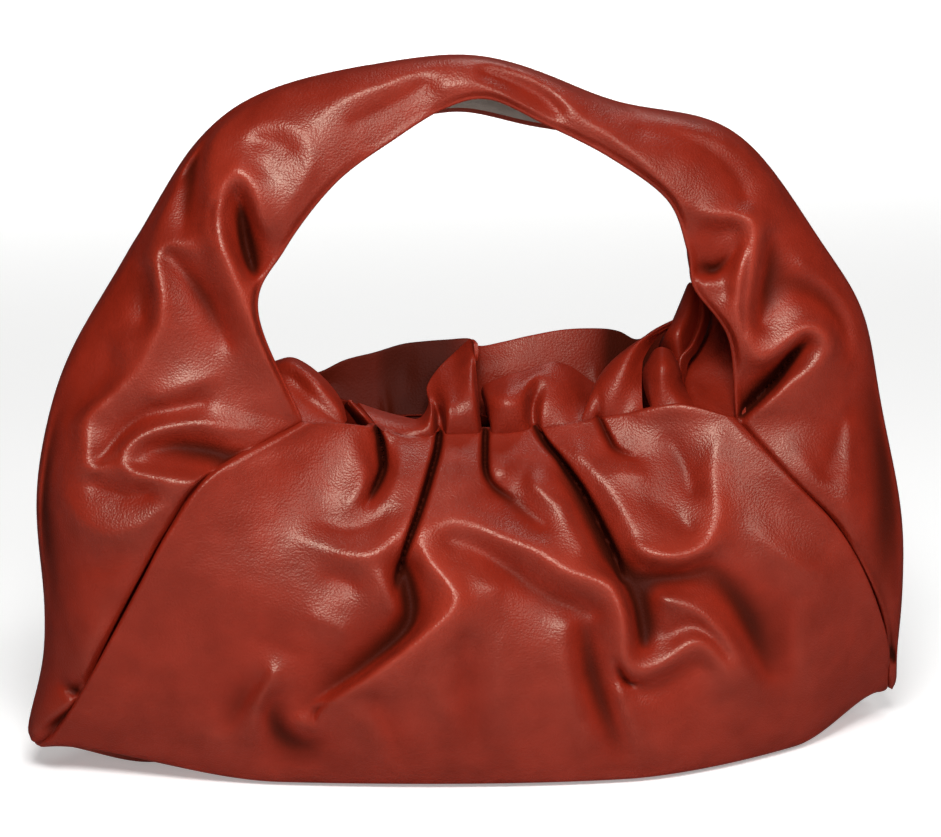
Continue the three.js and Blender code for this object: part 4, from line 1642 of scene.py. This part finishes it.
    def leather(self, outer: np.ndarray, inner: np.ndarray, height: np.ndarray) -> bpy.types.Object:
        """Builds the band with rounded lips.

        Args:
            outer: Outer points of the band.
            inner: Inner points of the band.
            height: Heights of the folds, from which the leather paints shade and highlight.

        Returns:
            The band's object.
        """
        skin = Skin()
        shell = skin.add(outer, height)
        lined = skin.add(inner[:, :: self.inner_skip])
        rims = []
        for edge, inside in ((-1, -2), (0, 1)):
            arc = rim(outer[:, edge], inner[:, edge], outer[:, edge] - outer[:, inside])
            rims.append(skin.add(arc.swapaxes(0, 1)))
        loop = [shell, rims[0], lined[:, ::-1], rims[1][:, ::-1], shell[:, :1]]
        skin.face(np.concatenate(loop, axis=1)[:, ::-1])
        for row in (0, -1):
            skin.cap(shell[row], lined[row])
        return skin.piece("band_leather")

    def build(self, leather: bpy.types.Material, suede: bpy.types.Material) -> None:
        """Builds and dresses the band and its lining.

        Args:
            leather: The band's finish.
            suede: The lining's finish.
        """
        plain = self.sections()
        out = grid_normals(plain, -1)
        # shade carries the heights for the painted shade and highlight, with the seams' dip painted darker
        front, back, dip, shade = self.heights(plain, out)
        ahead = self.photo.toward(plain)
        behind = PlainView(Side.BACK).toward(plain)
        outer = plain + ahead * front[..., None] + behind * back[..., None] - out * dip[..., None]
        reach = (1, self.inner_skip)
        low_front, low_back = (lowest(height, reach)[..., None] for height in (front, back))
        inner = plain + ahead * low_front + behind * low_back - out * (dip + LEATHER_WALL)[..., None]
        dress(self.leather(outer, inner, shade), leather, list(self.lengths))
        dress(self.lining(inner, out), suede, ["strap_lining"])


@dataclass(frozen=True)
class Lobe:
    """A fold of a frill: rows from its free edge downwards, each point as two pixels and a depth."""

    rows: tuple[tuple[Point, ...], ...]
    sewn: bool = True
    # Painted shade of the lobe, as heights of folds as dark as it, from its left end to its right one
    painted_shade_heights: tuple[float, ...] = (0.0,)

    def sheet(self, photo: PhotoView, steps: int) -> np.ndarray:
        """Points of the lobe.

        Args:
            photo: The photo's camera.
            steps: Steps between two points of the table.

        Returns:
            Points by row and column.
        """
        net = photo.at_depth(np.array(self.rows, float))
        tall = np.linspace(0, net.shape[0] - 1, steps * (net.shape[0] - 1) + 1)
        wide = np.linspace(0, net.shape[1] - 1, steps * (net.shape[1] - 1) + 1)
        return spline(spline(net, tall).swapaxes(0, 1), wide).swapaxes(0, 1)


@dataclass
class Frill:
    """A ruffled edge of overlapping lobes that stands on one side of the mouth."""

    side: Side
    photo: PhotoView
    lobes: dict[str, Lobe]
    steps: int = 12
    inset: float = 1.2
    overlap: float = 1.5
    sink_from: float = 0.55

    def seated(self, sheet: np.ndarray, top: np.ndarray) -> np.ndarray:
        """A lobe with its foot set into the panel's gathered edge.

        Args:
            sheet: Points of the lobe.
            top: The panel's gathered edge.

        Returns:
            The points, moved near the foot.
        """
        foot = smoothstep(np.linspace(0, 1, len(sheet)), self.sink_from, 1)[:, None]
        depth = np.interp(sheet[..., 0], top[:, 0], top[:, 1]) - self.side.value * self.inset
        height = np.interp(sheet[..., 0], top[:, 0], top[:, 2]) - self.overlap
        moved = sheet.copy()
        moved[..., 1] += (depth - sheet[..., 1]) * foot
        moved[..., 2] += (height - sheet[..., 2]) * foot
        return moved

    def add(self, skin: Skin, outer: np.ndarray, painted_shade_heights: tuple[float, ...]) -> None:
        """Adds one lobe as a closed sheet with a rounded edge, and the painted shade that it carries.

        Args:
            skin: The frill's mesh.
            outer: Points of the lobe's visible face.
            painted_shade_heights: Heights of folds as dark as the lobe, evenly spaced from its left end to
                its right one.
        """
        inner = outer - grid_normals(outer, Side.FRONT.value) * LEATHER_WALL
        arc = rim(inner[0], outer[0], outer[0] - outer[1])
        points = np.concatenate([inner[::-1], arc, outer])
        across = np.linspace(0, 1, points.shape[1])
        # Painted shade for each column of the lobe, spread evenly from its left end to its right one
        tone = np.interp(across, np.linspace(0, 1, len(painted_shade_heights)), painted_shade_heights)
        sheet = skin.add(points, np.broadcast_to(tone, points.shape[:2]))
        skin.face(sheet)
        shown = sheet[len(inner) + len(arc) :]
        hidden = sheet[: len(inner)][::-1]
        skin.cap(shown[-1], hidden[-1])
        for column in (0, -1):
            skin.cap(shown[:, column], hidden[:, column])
            skin.faces.append(sheet[len(inner) - 1 : len(inner) + len(arc) + 1, column].tolist())

    def build(self, top: np.ndarray, leather: bpy.types.Material) -> None:
        """Builds and dresses the frill.

        Args:
            top: The panel's gathered edge, which the frill is sewn to.
            leather: Its finish.
        """
        skin = Skin()
        for lobe in self.lobes.values():
            sheet = lobe.sheet(self.photo, self.steps)
            self.add(skin, self.seated(sheet, top) if lobe.sewn else sheet, lobe.painted_shade_heights)
        piece = skin.piece(f"{self.side.name.lower()}_ruffle")
        dress(piece, leather, [f"{self.side.name.lower()}_frill"])


# Lobes of the front frill: pixels from the left and the top, and the bag's y
FRONT_LOBES: dict[str, Lobe] = {
    "twisted_end": Lobe((
        ((274, 361, 10), (290, 357, 6), (304, 362, 2), (320, 374, -4), (334, 389, -9), (343, 404, -14),
         (347, 420, -20)),
        ((272, 367, 2), (288, 364, -5), (303, 371, -11), (318, 384, -17), (330, 398, -20), (339, 410, -22),
         (345, 423, -23)),
        ((271, 380, -4), (286, 382, -8), (298, 390, -12), (310, 401, -18), (322, 411, -22), (333, 419, -24),
         (343, 426, -25)),
        ((272, 400, -8), (286, 406, -14), (298, 412, -20), (310, 418, -24), (322, 424, -26), (332, 427, -26),
         (341, 429, -26)),
    )),
    "thin_pleat": Lobe((
        ((344, 407, 6), (346, 403, -2), (350, 401, -6), (354, 403, -2), (357, 407, 6)),
        ((354, 420, -2), (358, 417, -11), (363, 415, -15), (368, 416, -11), (371, 421, -2)),
        ((368, 438, -6), (373, 436, -10), (378, 435, -12), (383, 436, -10), (388, 438, -6)),
    ), sewn=False),
    "saddle_and_pleat": Lobe((
        ((359, 403, 4), (380, 410, 3), (402, 416, 0), (419, 418, -4), (428, 405, -2), (427, 388, 4),
         (437, 370, 12), (455, 352, 22), (469, 340, 20), (474, 344, 10)),
        ((368, 414, -6), (386, 420, -9), (405, 424, -12), (422, 425, -16), (431, 414, -14), (434, 403, -4),
         (443, 392, -6), (456, 383, -4), (471, 378, -6), (477, 380, 0)),
        ((378, 427, -13), (392, 431, -16), (408, 432, -18), (424, 432, -20), (433, 428, -18), (440, 420, -5),
         (447, 414, -19), (458, 411, -20), (475, 409, -19), (480, 411, -10)),
        ((388, 438, -16), (398, 440, -18), (412, 440, -19), (426, 439, -19), (434, 438, -17), (440, 437, -12),
         (447, 437, -19), (458, 438, -20), (477, 437, -20), (484, 437, -14)),
    )),
    "leaf": Lobe((
        ((481, 394, 10), (484, 385, 2), (504, 376, 0), (522, 371, 2), (538, 366, 5), (554, 362, 8),
         (570, 366, 12), (586, 377, 16), (602, 388, 18)),
        ((484, 404, 0), (488, 398, -12), (505, 394, -17), (522, 388, -13), (537, 380, -5), (552, 379, -3),
         (568, 383, -1), (585, 391, 4), (602, 398, 10)),
        ((488, 418, -6), (491, 414, -16), (507, 412, -22), (522, 408, -20), (531, 411, -8), (543, 407, -14),
         (560, 404, -12), (580, 406, -6), (600, 408, 2)),
        ((490, 437, -10), (495, 437, -17), (510, 434, -19), (524, 431, -18), (532, 429, -13), (542, 428, -17),
         (560, 424, -18), (578, 421, -16), (598, 417, -14)),
    )),
    "slanted_band": Lobe((
        ((674, 322, 20), (677, 319, 18), (680, 318, 16), (682, 321, 18)),
        ((636, 344, 8), (640, 339, 2), (651, 333, -2), (661, 334, 6)),
        ((610, 363, 2), (614, 359, -6), (632, 350, -12), (649, 349, -2)),
        ((594, 383, -2), (598, 380, -12), (622, 374, -19), (642, 364, -8)),
        ((580, 403, -8), (584, 402, -17), (612, 399, -23), (638, 388, -14)),
        ((580, 420, -13), (585, 421, -18), (612, 417, -22), (640, 410, -20)),
    )),
    "end_roll": Lobe((
        ((649, 357, 4), (654, 350, -4), (662, 347, -8), (672, 351, -4), (679, 359, 6)),
        ((643, 370, -6), (650, 366, -18), (662, 363, -25), (674, 366, -20), (683, 373, -4)),
        ((643, 387, -10), (650, 386, -22), (662, 385, -29), (674, 384, -24), (684, 387, -8)),
        ((646, 408, -18), (652, 407, -24), (664, 405, -28), (678, 403, -29), (692, 405, -29)),
    )),
}

# Lobes of the back frill and of the mouth's right end behind it; their painted shade darkens the inner faces
BACK_LOBES: dict[str, Lobe] = {
    "back_edge": Lobe((
        ((284, 380, 34), (318, 375, 29), (345, 362, 28), (375, 354, 29), (402, 346, 30), (422, 343, 28),
         (446, 341, 26), (470, 340, 24), (480, 347, 26), (503, 343, 28), (530, 337, 29), (565, 331, 30),
         (600, 330, 30), (620, 333, 31), (637, 341, 32), (654, 335, 33), (670, 327, 34), (690, 318, 35)),
        ((282, 383, 35), (318, 385, 30), (345, 379, 27), (375, 377, 26), (402, 375, 27), (422, 374, 23),
         (446, 373, 20), (470, 372, 18), (482, 375, 19), (503, 372, 21), (530, 367, 23), (565, 361, 25),
         (600, 356, 26), (620, 356, 28), (637, 358, 30), (654, 355, 32), (670, 352, 33), (690, 350, 35)),
        ((280, 387, 36), (318, 394, 28), (345, 399, 25), (375, 409, 21), (402, 413, 19), (422, 414, 18),
         (446, 414, 17), (470, 414, 17), (484, 413, 17), (503, 412, 17), (530, 406, 18), (565, 397, 20),
         (600, 388, 22), (620, 381, 24), (637, 374, 27), (654, 372, 29), (670, 373, 32), (690, 377, 35)),
    ), painted_shade_heights=(-5, -5, -5, -5, -7.5, -8.5, -6, -4, -3, -0.5, -0.5, -1, -4, -9, -7, -5, -4, -4)),
    "inner_wall": Lobe((
        ((712, 312, 28), (718, 310, 22), (728, 313, 18), (744, 318, 12)),
        ((703, 334, 22), (709, 331, 14), (722, 336, 8), (744, 342, 0)),
        ((690, 356, 16), (697, 354, 6), (714, 360, -2), (744, 370, -12)),
        ((680, 378, 8), (687, 377, -4), (708, 384, -12), (745, 394, -22)),
        ((681, 397, -6), (690, 398, -16), (710, 404, -24), (746, 414, -30)),
        ((690, 411, -22), (698, 412, -28), (716, 418, -32), (746, 426, -34)),
    ), sewn=False, painted_shade_heights=(-1.0,)),
    "climbing_end": Lobe((
        ((687, 285, 34), (690, 283, 30), (695, 289, 26), (700, 298, 26)),
        ((672, 321, 24), (678, 314, 13), (688, 313, 7), (699, 319, 12)),
        ((659, 345, 16), (667, 335, 1), (680, 332, -5), (692, 339, 4)),
        ((663, 361, 12), (670, 358, 0), (680, 357, -5), (690, 358, 4)),
        ((664, 384, 12), (672, 384, 4), (682, 384, 0), (692, 386, 6)),
    ), sewn=False),
    "end_ribbon": Lobe((
        ((697, 296, 28), (702, 297, 22), (708, 306, 22)),
        ((695, 321, 16), (702, 318, 7), (709, 322, 10)),
        ((685, 347, 8), (692, 344, -3), (699, 348, 2)),
        ((674, 361, 4), (680, 359, -6), (688, 364, -2)),
        ((676, 384, 0), (681, 384, -8), (687, 388, -4)),
    ), sewn=False),
}


@dataclass(frozen=True)
class Lamp:
    """A soft box that looks at the bag."""

    name: str
    place: Point
    width: float
    height: float
    power: float
    aim: Point = (0.0, 0.0, 0.14)
    spread: float = 180.0


@dataclass(frozen=True)
class Studio:
    """The pale floor, the soft boxes, the white surround and the camera."""

    photo: PhotoView
    floor_size: float = 12.0
    sensor: float = 36.0
    glow: float = 0.02
    lamps: tuple[Lamp, ...] = (
        Lamp("key_box", (-0.35, -1.4, 1.6), 0.75, 0.6, 40.5),
        Lamp("right_box", (1.0, -1.4, 1.35), 0.6, 0.5, 9.5),
        Lamp("camera_box", (-0.3, -2.3, 0.9), 0.7, 0.7, 4.0),
        Lamp("rear_box", (0.8, 1.2, 2.1), 0.9, 0.9, 11.0),
        Lamp("floor_box", (0.0, 2.4, 1.7), 4.0, 1.8, 40.0, (0.0, 2.4, 0.0), 65.0),
    )

    def floor(self) -> None:
        """Lays the floor."""
        half = self.floor_size / 2
        mesh = bpy.data.meshes.new("floor")
        corners = [(-half, -half, 0), (half, -half, 0), (half, half, 0), (-half, half, 0)]
        mesh.from_pydata(corners, [], [(0, 1, 2, 3)])
        mesh.materials.append(PaleFloor().material())
        floor = add_object("floor", mesh)
        floor.visible_glossy = False

    def light(self) -> None:
        """Sets up the soft boxes and the white surround."""
        for lamp in self.lamps:
            data = bpy.data.lights.new(lamp.name, "AREA")
            data.shape = "RECTANGLE"
            data.size = lamp.width
            data.size_y = lamp.height
            data.energy = lamp.power
            data.spread = math.radians(lamp.spread)
            box = add_object(lamp.name, data)
            box.location = lamp.place
            box.rotation_euler = look_along(Vector(lamp.aim) - Vector(lamp.place))
        world = bpy.data.worlds.new("white_surround")
        world.use_nodes = True
        book = NodeBook(world.node_tree)
        seen = book.node("ShaderNodeLightPath", output="Is Camera Ray")
        strength = self.glow + (1.0 - self.glow) * seen
        sky = book.node("ShaderNodeBackground", None, {"Color": WHITE, "Strength": strength})
        book.node("ShaderNodeOutputWorld", None, {"Surface": sky})
        bpy.context.scene.world = world
        bpy.context.scene.view_settings.view_transform = "Standard"

    def camera(self) -> None:
        """Sets the camera at the photo's viewing angle."""
        data = bpy.data.cameras.new("photo_camera")
        data.sensor_width = self.sensor
        data.lens = self.photo.focal * self.sensor / self.photo.width
        camera = add_object("photo_camera", data)
        camera.location = Vector(self.photo.eye * MILLIMETRE)
        camera.rotation_euler = look_along(-Vector(self.photo.back))
        bpy.context.scene.camera = camera

    def build(self) -> None:
        """Sets up the whole studio."""
        self.floor()
        self.light()
        self.camera()


def main() -> None:
    """Builds the bag and its studio, and writes down how large it came out."""
    logging.basicConfig(level=logging.INFO, format="%(message)s", stream=sys.stdout)
    photo = PhotoView()
    form = PouchForm()
    leather = Leather().material()
    suede = Suede().material()
    Studio(photo).build()
    pouch = Pouch(form, photo)
    pouch.build(leather)
    Band(form, photo).build(leather, suede)
    Frill(Side.FRONT, photo, FRONT_LOBES).build(pouch.tops[Side.FRONT], leather)
    Frill(Side.BACK, photo, BACK_LOBES).build(pouch.tops[Side.BACK], leather)


if __name__ == "__main__":
    main()
